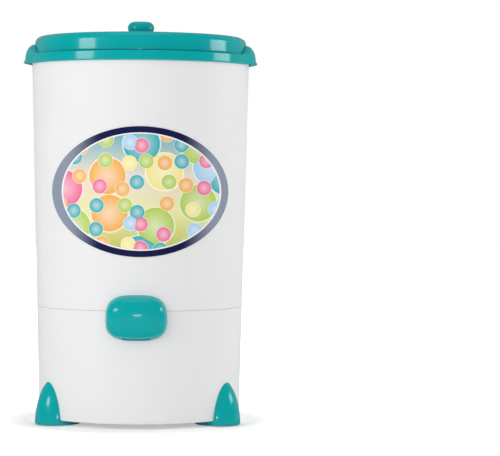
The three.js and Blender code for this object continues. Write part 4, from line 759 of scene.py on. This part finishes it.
def ring_sections():
    """The ring's section beside the handles and in a handle's middle, point for point."""
    edge = EDGE_ROUNDING
    low_lip = (HANDLE_REACH - edge / 2, HANDLE_LIP_BOTTOM)
    high_lip = (HANDLE_REACH, HANDLE_LIP_BOTTOM + edge / 2)
    top_edge = (HANDLE_INNER + HANDLE_TOP_EDGE, HANDLE_TOP)
    deck_edge = (HANDLE_INNER + FIT_GAP, DECK_HEIGHT)
    inner_arch = [p for p in handle_arch(HANDLE_WALL) if p[0] > HOLLOW_INNER]
    ceiling = inner_arch[-1][1]
    outer_arch = handle_arch(0)
    stages = [
        ([(RING_INNER, DECK_UNDERSIDE), (RING_INNER, RING_BOTTOM)],
         [(HOLLOW_INNER, DECK_UNDERSIDE), (HOLLOW_INNER, ceiling), *reversed(inner_arch)], INSIDE_POINTS),
        ([(RING_INNER, RING_BOTTOM), (RING_OUTER - edge, RING_BOTTOM)], [inner_arch[0], low_lip], LIP_POINTS),
        ([*arc((RING_OUTER - edge, RING_BOTTOM + edge), edge, edge, -90, 0, ROUNDING_STEPS),
          *arc((RING_OUTER - edge, DECK_HEIGHT - edge), edge, edge, 0, 90, ROUNDING_STEPS),
          deck_edge],
         [low_lip, high_lip, *outer_arch[1:-1], top_edge], OUTSIDE_POINTS),
        ([deck_edge, (HANDLE_INNER, DECK_HEIGHT)],
         [top_edge, (HANDLE_INNER + HANDLE_TOP_EDGE / 3, HANDLE_TOP - HANDLE_TOP_EDGE / 3),
          (HANDLE_INNER, HANDLE_TOP - HANDLE_TOP_EDGE), (HANDLE_INNER, DECK_HEIGHT)], TOP_POINTS),
    ]
    plain, full = [], []
    for ring_line, handle_line, count in stages:
        plain += spread(ring_line, count)[:-1]
        full += spread(handle_line, count)[:-1]
    bend = FUNNEL_TOP_RADIUS - FUNNEL_LOW_RADIUS
    funnel = [
        (HANDLE_INNER, DECK_HEIGHT),
        *arc((FUNNEL_TOP_RADIUS, DECK_HEIGHT - bend), -bend, bend, 90, 0, BEND_STEPS),
        (FUNNEL_LOW_RADIUS, FUNNEL_BOTTOM),
        (FUNNEL_LOW_RADIUS + FUNNEL_WALL, FUNNEL_BOTTOM),
        (FUNNEL_LOW_RADIUS + FUNNEL_WALL, DECK_UNDERSIDE - bend),
        (FUNNEL_TOP_RADIUS, DECK_UNDERSIDE),
    ]
    return plain + funnel, full + funnel


def handle_share(x, y):
    """1 along a handle, 0 beside it, with a smooth run-out between."""
    off = degrees(atan2(abs(y), abs(x)))
    share = min(max((off - HANDLE_FULL_ANGLE) / HANDLE_FADE_ANGLE, 0), 1)
    return 1 - share * share * (3 - 2 * share)


def ring_with_handles():
    """The plain section taken round, and drawn out to a handle's section at each side."""
    plain, full = ring_sections()
    bm = bmesh.new()
    place = bm.verts.layers.int.new("place")
    verts = [bm.verts.new((across, 0, up)) for across, up in plain]
    for i, vert in enumerate(verts):
        vert[place] = i
    bm.faces.new(verts)
    bmesh.ops.delete(bm, geom=list(bm.faces), context="FACES_ONLY")
    wound(bm, 2 * ROUND_STEPS)
    for vert in bm.verts:
        share = handle_share(vert.co.x, vert.co.y)
        across, up = full[vert[place]]
        radius = hypot(vert.co.x, vert.co.y)
        scale = mix(radius, across, share) / radius
        vert.co = (vert.co.x * scale, vert.co.y * scale, mix(vert.co.z, up, share))
    return welded(bm)


def hinge_lug(side):
    top = arc((HINGE_Y, HINGE_Z), KNUCKLE_RADIUS, KNUCKLE_RADIUS, 0, 180, ARC_STEPS)
    corners = [
        (RING_OUTER - EDGE_ROUNDING, RING_BOTTOM + EDGE_ROUNDING),
        (HANDLE_REACH, LID_BOTTOM),
        *top,
        (HINGE_Y - KNUCKLE_RADIUS, DECK_HEIGHT - EDGE_ROUNDING),
        (RING_OUTER - EDGE_ROUNDING, DECK_HEIGHT - EDGE_ROUNDING),
    ]
    place = KNUCKLE_HALF_WIDTH + FIT_GAP + HINGE_LUG_WIDTH / 2
    return moved(plate(corners, HINGE_LUG_WIDTH / 2, SOFT), (side * place, 0, 0))


def pin_hole():
    return bar((-HANDLE_REACH / 2, HINGE_Y, HINGE_Z), (HANDLE_REACH / 2, HINGE_Y, HINGE_Z), HINGE_BORE)


def bolt_holes():
    low = (HANDLE_INNER - PAST, -BOLT_SLOT_HALF_WIDTH, BOLT_SLOT_BOTTOM)
    high = (RING_INNER + PAST, BOLT_SLOT_HALF_WIDTH, BOLT_SLOT_TOP)
    return [block(low, high), moved(block(low, high), turn=180)]


def top_ring():
    whole = joined(ring_with_handles(), hinge_lug(1), hinge_lug(-1))
    low, high = (0, -PLUNGER_PLACE, DECK_UNDERSIDE - PAST), (0, -PLUNGER_PLACE, DECK_HEIGHT + PAST)
    plunger_hole = bar(low, high, PLUNGER_HOLE)
    return cut(whole, pin_hole(), *bolt_holes(), at_angle(plunger_hole, PLUNGER_ANGLE))


# ---- Lid ----


def lid_line(inset, steps):
    """The lid's line from its side over its shoulder to its crown, set in by a wall."""
    flat = LID_RADIUS - SHOULDER_WIDTH
    shoulder = arc((flat, LID_SHOULDER), SHOULDER_WIDTH - inset, SHOULDER_HEIGHT - inset, 0, 90, steps)
    base = LID_SHOULDER + SHOULDER_HEIGHT - inset
    crown = [(flat * share, base + LID_CROWN * (1 - share ** 2)) for share in CROWN_RINGS]
    return [(LID_RADIUS - inset, LID_SHOULDER - SHOULDER_HOLD)] + shoulder + crown


def lid_cover():
    top = LID_SHOULDER + SHOULDER_HEIGHT + LID_CROWN
    shell = turned([
        (LID_RADIUS - LID_WALL, LID_RIM, SOFT),
        (LID_RADIUS, LID_RIM, FULL),
        (LID_RADIUS, LID_RIM + EDGE_HOLD),
        *lid_line(0, SHOULDER_STEPS),
        (SPINDLE_BORE, top, CRISP),
        (SPINDLE_BORE, top - LID_WALL),
        *reversed(lid_line(LID_WALL, SHOULDER_INSIDE_STEPS)),
    ])
    half = KNUCKLE_RADIUS * ARM_SHARE
    arm = block((-KNUCKLE_HALF_WIDTH, LID_RADIUS - LID_WALL + ARM_INSET, HINGE_Z - half),
                (KNUCKLE_HALF_WIDTH, HINGE_Y, HINGE_Z + half), FINE)
    knuckle = bar((-KNUCKLE_HALF_WIDTH, HINGE_Y, HINGE_Z), (KNUCKLE_HALF_WIDTH, HINGE_Y, HINGE_Z),
                  KNUCKLE_RADIUS, edge=SLIGHT)
    slot_half = BOLT_SLOT_HALF_WIDTH - BOLT_SLOT_INSET
    slot = block((-LID_RADIUS - PAST, -slot_half, BOLT_SLOT_BOTTOM + BOLT_SLOT_INSET),
                 (LID_RADIUS + PAST, slot_half, BOLT_SLOT_TOP - BOLT_SLOT_INSET))
    return cut(joined(shell, arm, knuckle), pin_hole(), slot)


def knob():
    shoulder = arc((KNOB_FLAT_RADIUS, KNOB_TOP - KNOB_SHOULDER), KNOB_RADIUS - KNOB_FLAT_RADIUS,
                   KNOB_SHOULDER, -30, 90, ARC_STEPS)
    bore_top = KNOB_BOTTOM + SPINDLE_ROOM
    return turned([
        (SPINDLE_BORE, KNOB_BOTTOM),
        (KNOB_NECK_RADIUS, KNOB_BOTTOM, SOFT),
        *shoulder,
        (0, KNOB_TOP),
        (0, bore_top),
        (SPINDLE_BORE, bore_top),
    ], SMALL_STEPS * 2)


def lid_liner():
    dish = LINER_BOTTOM + LINER_DISH_DEPTH
    groove = LINER_GROOVE_RADIUS
    return turned([
        (0, dish),
        (LINER_DISH_RADIUS, dish, BROAD),
        (LINER_DISH_RADIUS + LINER_DISH_SLOPE, LINER_BOTTOM, BROAD),
        (groove, LINER_BOTTOM, CRISP),
        (groove + LINER_GROOVE_SLOPE, dish, CRISP),
        (groove + LINER_GROOVE_WIDTH - LINER_GROOVE_SLOPE, dish, CRISP),
        (groove + LINER_GROOVE_WIDTH, LINER_BOTTOM, CRISP),
        (LINER_RADIUS, LINER_BOTTOM, FULL),
        (LINER_RADIUS, LINER_TOP, FINE),
        (0, LINER_TOP),
    ])


def lid_gasket():
    flank = GASKET_TOP - GASKET_FLANK
    lip = arc((GASKET_RADIUS, flank), GASKET_HALF_WIDTH, flank - GASKET_BOTTOM, 180, 360, ARC_STEPS)
    return turned([*lip, (GASKET_RADIUS + GASKET_HALF_WIDTH, GASKET_TOP, CRISP),
                   (GASKET_RADIUS - GASKET_HALF_WIDTH, GASKET_TOP, CRISP)])


# ---- Drum ----


def drum():
    """A pressed basket: a wall with rows of round holes between two beads, and a turned-in mouth."""
    inner = DRUM_RADIUS - DRUM_CORNER
    shares = [i / (DRUM_HOLE_ROWS - 1) for i in range(DRUM_HOLE_ROWS)]
    hole_heights = [mix(DRUM_HOLES_LOW, DRUM_HOLES_HIGH, share) for share in shares]
    beads = [arc((DRUM_RADIUS, height), -DRUM_BEAD, 2 * DRUM_BEAD, -90, 90, DRUM_BEAD_STEPS)
             for height in DRUM_BEAD_HEIGHTS]
    line = [
        (DRUM_BORE, DRUM_BOTTOM),
        (inner - DRUM_FLOOR_HOLD, DRUM_BOTTOM),
        *arc((inner, DRUM_BOTTOM + DRUM_CORNER), DRUM_CORNER, DRUM_CORNER, -90, 0, BEND_STEPS),
        *beads[0],
        *[(DRUM_RADIUS, height) for height in hole_heights],
        *beads[1],
        *arc((inner, DRUM_TOP - DRUM_CORNER), DRUM_CORNER, DRUM_CORNER, 0, 90, BEND_STEPS),
        *arc((DRUM_MOUTH_RADIUS + DRUM_MOUTH_BEND, DRUM_TOP - DRUM_MOUTH_BEND), -DRUM_MOUTH_BEND,
             DRUM_MOUTH_BEND, 90, 0, ROUNDING_STEPS),
        (DRUM_MOUTH_RADIUS, DRUM_TOP - DRUM_LIP_DROP),
    ]
    bm = bmesh.new()
    open_line(bm, [(across, 0, up) for across, up in line])
    steps = 2 * DRUM_HOLE_COLUMNS
    wound(bm, steps)
    welded(bm)
    centres = []
    for vert in bm.verts:
        row = [i for i, height in enumerate(hole_heights) if abs(vert.co.z - height) < WELD]
        column = round(degrees(atan2(vert.co.y, vert.co.x)) / 360 * steps)
        if row and (column + row[0]) % 2 == 0:
            centres.append(vert)
    holes = rounded(bm, centres, DRUM_HOLE_RADIUS, "VERTICES", segments=2)
    bmesh.ops.delete(bm, geom=holes["faces"], context="FACES")
    bmesh.ops.recalc_face_normals(bm, faces=bm.faces)
    outward = sum(face.normal.xy.dot(face.calc_center_median().xy) for face in bm.faces)
    if outward < 0:
        bmesh.ops.reverse_faces(bm, faces=bm.faces)
    bmesh.ops.solidify(bm, geom=bm.faces[:], thickness=DRUM_WALL)
    return bm


def drum_nut():
    hex_top = NUT_BOTTOM + NUT_HEIGHT / 2
    hexagon = turned([(0, NUT_BOTTOM), (NUT_RADIUS, NUT_BOTTOM, SOFT), (NUT_RADIUS, hex_top, BROAD),
                      (0, hex_top)], 6)
    dome = turned([(0, hex_top - PAST), (NUT_DOME_RADIUS, hex_top - PAST),
                   *arc((0, hex_top), NUT_DOME_RADIUS, NUT_HEIGHT / 2, 0, 90, SHOULDER_STEPS)], SMALL_STEPS)
    return joined(hexagon, dome)


# ---- Small fittings ----


def hinge_pin():
    return bar((-PIN_REACH, HINGE_Y, HINGE_Z), (PIN_REACH, HINGE_Y, HINGE_Z), PIN_RADIUS, edge=SLIGHT)


def screw():
    """A pan head with a cross recess on a plain shank, its head's top at the origin, facing up."""
    seat = -SCREW_HEAD_HEIGHT
    dome = arc((0, seat), SCREW_HEAD_RADIUS, SCREW_HEAD_HEIGHT, 0, 90, SCREW_DOME_STEPS)
    body = turned([(0, seat - SCREW_LENGTH), (SCREW_RADIUS, seat - SCREW_LENGTH, SLIGHT),
                   (SCREW_RADIUS, seat), *dome], SMALL_STEPS)
    half, reach = RECESS_WIDTH / 2, RECESS_LENGTH / 2
    cross = [block((-x, -y, -RECESS_DEPTH), (x, y, PAST)) for x, y in ((reach, half), (half, reach))]
    return cut(body, *cross)


def seam_screw(angle):
    upright = screw()
    moved(upright, turn=90, axis="X")
    moved(upright, (0, -body_radius(SEAM_SCREW_HEIGHT) - FIT_GAP - SCREW_HEAD_HEIGHT, SEAM_SCREW_HEIGHT))
    return at_angle(upright, angle)


def gland():
    """The round inlet for the mains lead: a domed flange and a sleeve through the wall."""
    sleeve_end = -BODY_WALL - GLAND_SLEEVE
    body = turned([
        (GLAND_BORE, sleeve_end, CRISP),
        (GLAND_RADIUS, sleeve_end, SOFT),
        (GLAND_RADIUS, 0),
        (GLAND_FLANGE_RADIUS, 0, FINE),
        (GLAND_FLANGE_RADIUS, GLAND_RIM, FULL),
        (GLAND_RADIUS, GLAND_FLANGE, FULL),
        (GLAND_BORE + GLAND_BORE_FLARE, GLAND_FLANGE, SLIGHT),
        (GLAND_BORE, GLAND_FLANGE - GLAND_BORE_FLARE, CRISP),
    ], SMALL_STEPS)
    moved(body, turn=90, axis="X")
    moved(body, (0, -body_radius(GLAND_HEIGHT) - FIT_GAP, GLAND_HEIGHT))
    return at_angle(body, GLAND_ANGLE)


# ---- Hood over the water outlet ----


def power(value, exponent):
    """A power that keeps the value's sign."""
    return abs(value) ** exponent * (1 if value >= 0 else -1)


def hood_dome():
    """A shell on a rounded oblong outline whose open side runs into the body."""
    bm = bmesh.new()
    bmesh.ops.create_uvsphere(bm, u_segments=HOOD_STEPS, v_segments=SMALL_STEPS, radius=1)
    for vert in bm.verts:
        across, along, depth = vert.co
        side = min(hypot(across, along), 1)
        turn = atan2(along, across)
        share = side ** (2 / HOOD_DOME_POWER)
        rise = share * power(sin(turn), 2 / HOOD_OUTLINE_POWER)
        width = HOOD_HALF_WIDTH * (1 - HOOD_TAPER * rise)
        vert.co = (
            width * share * power(cos(turn), 2 / HOOD_OUTLINE_POWER),
            -HOOD_BASE - (HOOD_FRONT - HOOD_BASE) * power(depth, 2 / HOOD_DOME_POWER),
            HOOD_MIDDLE + HOOD_HALF_HEIGHT * rise,
        )
    bmesh.ops.bisect_plane(bm, geom=bm.verts[:] + bm.edges[:] + bm.faces[:], dist=WELD,
                           plane_co=(0, PAST - HOOD_BASE, 0), plane_no=(0, 1, 0), clear_outer=True)
    welded(bm)
    bmesh.ops.solidify(bm, geom=bm.faces[:], thickness=HOOD_WALL)
    return welded(bm)


def hood():
    low, high = HOOD_MIDDLE - HOOD_HALF_HEIGHT, HOOD_MIDDLE + HOOD_HALF_HEIGHT
    mouth_back = -body_radius(low) - HOOD_MOUTH_RIM
    mouth = block((-HOOD_MOUTH_HALF_WIDTH, mouth_back - HOOD_MOUTH_DEPTH, low - HOOD_PAST),
                  (HOOD_MOUTH_HALF_WIDTH, mouth_back, HOOD_MIDDLE - HOOD_HALF_HEIGHT / 2), BROAD)
    return cut(hood_dome(), body_space(FIT_GAP, low - HOOD_PAST, high + HOOD_PAST), mouth)


# ---- Badge ----


def badge():
    """An oval film: a flat disc of rings, stretched and laid on the body's front."""
    bm = bmesh.new()
    open_line(bm, [(i / BADGE_RINGS, 0, 0) for i in range(BADGE_RINGS + 1)])
    wound(bm, ROUND_STEPS)
    bmesh.ops.remove_doubles(bm, verts=bm.verts, dist=WELD)
    for vert in bm.verts:
        across = vert.co.x * BADGE_HALF_WIDTH
        height = BADGE_MIDDLE + vert.co.y * BADGE_HALF_HEIGHT
        radius = body_radius(height) + FIT_GAP
        vert.co = (across, -sqrt(radius ** 2 - across ** 2), height)
    bmesh.ops.recalc_face_normals(bm, faces=bm.faces)
    if bm.faces[:][0].normal.y > 0:
        bmesh.ops.reverse_faces(bm, faces=bm.faces)
    bmesh.ops.solidify(bm, geom=bm.faces[:], thickness=-BADGE_THICKNESS)
    return at_angle(bm, BADGE_TURN)


# ---- Feet ----


def foot_place(angle):
    turn = radians(angle)
    return FOOT_PLACE * sin(turn), -FOOT_PLACE * cos(turn), 0


def foot(angle):
    side = [(x, z) for x, z in arc((0, 0), FOOT_RADIUS, FOOT_HEIGHT, 0, 90, FOOT_STEPS)
            if z > FOOT_BOTTOM + FOOT_HOLD]
    dome = turned([(0, FOOT_BOTTOM), (FOOT_RADIUS, FOOT_BOTTOM, BROAD), *side[:-1], (0, FOOT_HEIGHT)],
                  SMALL_STEPS)
    moved(dome, foot_place(angle))
    recess = bar((0, 0, -PAST), (0, 0, PAD_THICKNESS + FIT_GAP), PAD_RADIUS + FIT_GAP, SMALL_STEPS)
    room = body_space(FIT_GAP, BODY_BOTTOM - FIT_GAP, SEAM_HEIGHT)
    return cut(dome, room, moved(recess, foot_place(angle)))


def foot_pad(angle):
    disc = turned([(PAD_BORE, 0, FINE), (PAD_RADIUS, 0, FULL), (PAD_RADIUS, PAD_THICKNESS, FINE),
                   (PAD_BORE, PAD_THICKNESS, FINE)], SMALL_STEPS)
    return moved(disc, foot_place(angle))


# ---- Springs and sleeve that give as the motor bounces ----


def coil_spring(angle):
    bm = bmesh.new()
    bmesh.ops.create_circle(bm, cap_ends=True, segments=SPRING_WIRE_STEPS, radius=SPRING_WIRE_RADIUS)
    moved(bm, (SPRING_COIL_RADIUS, 0, SPRING_BOTTOM + SPRING_WIRE_RADIUS), 90, "X")
    steps = SPRING_TURNS * SPRING_STEPS
    climb = (SPRING_TOP - SPRING_BOTTOM - 2 * SPRING_WIRE_RADIUS) / steps
    wound(bm, steps, SPRING_TURNS, climb)
    return at_angle(moved(welded(bm), (0, -SPRING_PLACE, 0)), angle)


def rubber_sleeve():
    return turned([
        (SLEEVE_INNER, SLEEVE_BOTTOM, FINE),
        (SLEEVE_INNER + SLEEVE_WALL, SLEEVE_BOTTOM, FINE),
        (SLEEVE_INNER + SLEEVE_WALL, SLEEVE_FOLD, BROAD),
        (SLEEVE_OUTER, SLEEVE_FOLD + SLEEVE_WALL, BROAD),
        (SLEEVE_OUTER, SLEEVE_TOP, FINE),
        (SLEEVE_OUTER - SLEEVE_WALL, SLEEVE_TOP, FINE),
        (SLEEVE_OUTER - SLEEVE_WALL, SLEEVE_FOLD + 2 * SLEEVE_WALL, BROAD),
        (SLEEVE_INNER, SLEEVE_FOLD + SLEEVE_WALL / 2, CRISP),
    ], SMALL_STEPS)


def gives(made):
    """A piece that in the machine stays with the cabinet at one height and moves with the motor at another.
    Here its place is only baked into its mesh, and it is left on no CAD body.
    """
    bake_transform(made)


# ---- The pieces ----

piece("upper_wall", upper_wall(), "white_plastic", "cabinet", "upper_shell")
piece("base_tub", lower_wall(), "white_plastic", "cabinet", "lower_shell")
piece("handle_ring", top_ring(), "teal_plastic", "cabinet", "top_ring")
piece("lid_cover", lid_cover(), "teal_plastic", "lid", "lid")
piece("turn_knob", knob(), "teal_plastic", "knob", "lid_knob")
piece("liner_disc", lid_liner(), "grey_plastic", "lid", "lid_liner")
piece("gasket_ring", lid_gasket(), "rubber", "lid", "lid_gasket")
piece("drum_basket", drum(), "stainless", "rotor", "drum")
piece("dome_nut", drum_nut(), "steel", "rotor", "drum_nut")
piece("hinge_rod", hinge_pin(), "steel", "cabinet", "hinge_pin")
piece("lead_inlet", gland(), "black_plastic", "cabinet", "cord_gland")
for side, angle in SEAM_SCREW_ANGLES.items():
    piece(f"pan_screw_{side}", seam_screw(angle), "steel", "cabinet", f"seam_screw_{side}")
piece("outlet_hood", hood(), "teal_plastic", "cabinet", "spout_hood", sharp=40)
piece("oval_badge", badge(), "badge_film", "cabinet", "badge")
for side, angle in FOOT_ANGLES.items():
    piece(f"foot_dome_{side}", foot(angle), "teal_plastic", "cabinet", f"foot_{side}")
    piece(f"foot_rubber_{side}", foot_pad(angle), "rubber", "cabinet", f"foot_pad_{side}")
for side, angle in SPRING_ANGLES.items():
    spring = piece(f"coil_spring_{side}", coil_spring(angle), "steel", None, f"suspension_spring_{side}")
    gives(spring)
sleeve = piece("rubber_sleeve", rubber_sleeve(), "rubber", None, "shaft_seal")
gives(sleeve)

# ---- CAD nodes that stay, with better finishes ----

node_slots = {part["node"]: part["material_slot"] for part in frame["record"]["subparts"]}
for node, thing in frame["nodes"].items():
    for i in range(len(thing.material_slots)):
        thing.material_slots[i].material = FINISHES[node_slots[node]]

# ---- Camera, in metres and degrees ----

CAMERA_DISTANCE = 3.556
CAMERA_AZIMUTH = 1.9  # round from the front
CAMERA_HEIGHT = 0.395
CAMERA_LENS = 156.2  # both in millimetres
CAMERA_FILM_WIDTH = 36
CAMERA_YAW = 1.0
CAMERA_PITCH = -1.298
CAMERA_ROLL = 0.33


def add_camera():
    camera = shown("camera", bpy.data.cameras.new("camera"))
    camera.data.lens = CAMERA_LENS
    camera.data.sensor_width = CAMERA_FILM_WIDTH
    turn = radians(CAMERA_AZIMUTH)
    camera.location = (CAMERA_DISTANCE * sin(turn), -CAMERA_DISTANCE * cos(turn), CAMERA_HEIGHT)
    yaw, pitch = radians(CAMERA_YAW), radians(CAMERA_PITCH)
    forward = Vector((sin(yaw) * cos(pitch), cos(yaw) * cos(pitch), sin(pitch)))
    look = forward.to_track_quat("-Z", "Y").to_matrix()
    camera.rotation_euler = (look @ Matrix.Rotation(radians(CAMERA_ROLL), 3, "Z")).to_euler()
    bpy.context.scene.camera = camera


# ---- Studio: floor, backdrop and lamps, in metres ----

FLOOR_RADIUS = 9.0
FLOOR_STEPS = 96
FLOOR_PAINT = 0.9
FLOOR_IN_GLOSS = 0.15  # how bright the floor shows in a gloss
UNDER_BODY = 0.15  # out to here the floor is under the body
BESIDE_BODY = 0.185  # and from here it isn't
UNDER_GLOW = 0.42  # how much paler the floor under the body shows
FLOOR_NEAR = 0.165  # from here the floor runs out into white
FLOOR_FAR = 0.4  # and here it is white
AMBIENT = 0.85  # strength of the even light from all round
STUDIO_FRONT = 0.04  # how bright the studio behind the camera shows in a gloss
STUDIO_BACK = 0.28  # and the studio behind the object
STUDIO_BACK_FULL = 0.8  # where it is fully that bright, as a share of straight back
STUDIO_TOP = 0.6  # and its ceiling
STUDIO_TOP_START = 0.85  # where the ceiling starts to show, as a share of straight up
STUDIO_TOP_FULL = 0.97
LAMP_AIM = (0, 0, 0.4)

# Name, degrees round from the front and up, distance, width, height, power, and what shows of it: the
# light on the surfaces' own colour, or only a highlight in their gloss
LAMPS = [
    ("left_card", -56, 12, 2.4, 0.8, 0.5, 7.7, "gloss"),
    ("right_card", 92, 12, 2.4, 0.95, 0.5, 7.2, "gloss"),
    ("camera_strip", 0, -2, 3.4, 0.4, 0.03, 2.3, "gloss"),
    ("left_key", -40, 10, 2.6, 1.2, 1.2, 15, "colour"),
    ("right_rim", 110, 8, 2.6, 1.2, 1.2, 16, "colour"),
]


def seen_directly(nodes, in_gloss=1.0):
    """1 for rays from the camera or through glass, a share of it off a gloss, else 0."""
    path = nodes.add("ShaderNodeLightPath")
    mirrored = nodes.math("MULTIPLY", path.outputs["Is Glossy Ray"], in_gloss)
    direct = nodes.math("MAXIMUM", path.outputs["Is Camera Ray"], mirrored)
    return nodes.math("MAXIMUM", direct, path.outputs["Is Transmission Ray"])


def studio_floor():
    """A white floor whose glow leaves only the shadow at the object's foot to be seen."""
    material = bpy.data.materials.new("studio_floor")
    nodes = Nodes(material)
    glossy = nodes.add("ShaderNodeLightPath").outputs["Is Glossy Ray"]
    paint = nodes.mixed(glossy, shade((1, 1, 1), FLOOR_PAINT), shade((1, 1, 1), FLOOR_IN_GLOSS))
    matt = nodes.add("ShaderNodeBsdfDiffuse", {"Color": paint})
    parts = nodes.add("ShaderNodeSeparateXYZ", {"Vector": nodes.place()})
    radius = nodes.length(parts.outputs["X"], parts.outputs["Y"])
    under = nodes.mapped(radius, UNDER_BODY, BESIDE_BODY, UNDER_GLOW, 0.0)
    away = nodes.mapped(radius, FLOOR_NEAR, FLOOR_FAR)
    glow = nodes.math("ADD", under, away)
    strength = nodes.math("MULTIPLY", glow, seen_directly(nodes, FLOOR_IN_GLOSS))
    shine = nodes.add("ShaderNodeEmission", {"Color": (1, 1, 1, 1), "Strength": strength})
    surface = nodes.add("ShaderNodeAddShader", {0: matt.outputs[0], 1: shine.outputs[0]})
    nodes.add("ShaderNodeOutputMaterial", {"Surface": surface.outputs[0]})
    bm = bmesh.new()
    bmesh.ops.create_circle(bm, cap_ends=True, segments=FLOOR_STEPS, radius=FLOOR_RADIUS)
    floor = solid("floor", bm)
    floor.data.materials.append(material)


def studio_world():
    """White all round to the camera, even light on the object, and a plain dim studio in its gloss."""
    world = bpy.data.worlds.new("studio")
    bpy.context.scene.world = world
    nodes = Nodes(world)
    lit = nodes.add("ShaderNodeBackground", {"Color": (1, 1, 1, 1), "Strength": AMBIENT})
    towards = nodes.add("ShaderNodeTexCoord").outputs["Generated"]
    parts = nodes.add("ShaderNodeSeparateXYZ", {"Vector": towards})
    walls = nodes.mapped(parts.outputs["Y"], 0.0, STUDIO_BACK_FULL, STUDIO_FRONT, STUDIO_BACK)
    ceiling = nodes.mapped(parts.outputs["Z"], STUDIO_TOP_START, STUDIO_TOP_FULL, 0.0, STUDIO_TOP)
    studio = nodes.math("MAXIMUM", walls, ceiling)
    glossy = nodes.add("ShaderNodeLightPath").outputs["Is Glossy Ray"]
    dimmed = nodes.math("MULTIPLY", glossy, nodes.math("SUBTRACT", 1.0, studio))
    brightness = nodes.math("SUBTRACT", 1.0, dimmed)
    seen = nodes.add("ShaderNodeBackground", {"Color": (1, 1, 1, 1), "Strength": brightness})
    inputs = {0: seen_directly(nodes), 1: lit.outputs[0], 2: seen.outputs[0]}
    surface = nodes.add("ShaderNodeMixShader", inputs)
    nodes.add("ShaderNodeOutputWorld", {"Surface": surface.outputs[0]})


def lamp(name, azimuth, elevation, distance, width, height, power, shows):
    """A soft lamp that faces the object."""
    data = bpy.data.lights.new(name, "AREA")
    data.shape = "RECTANGLE"
    data.size, data.size_y, data.energy = width, height, power
    light = shown(name, data)
    turn, rise = radians(azimuth), radians(elevation)
    back = Vector((sin(turn) * cos(rise), -cos(turn) * cos(rise), sin(rise)))
    light.location = Vector(LAMP_AIM) + back * distance
    light.rotation_euler = (-back).to_track_quat("-Z", "Y").to_euler()
    light.visible_diffuse = shows == "colour"
    light.visible_glossy = shows == "gloss"


add_camera()
studio_floor()
studio_world()
for values in LAMPS:
    lamp(*values)
bpy.context.scene.view_settings.view_transform = "Standard"
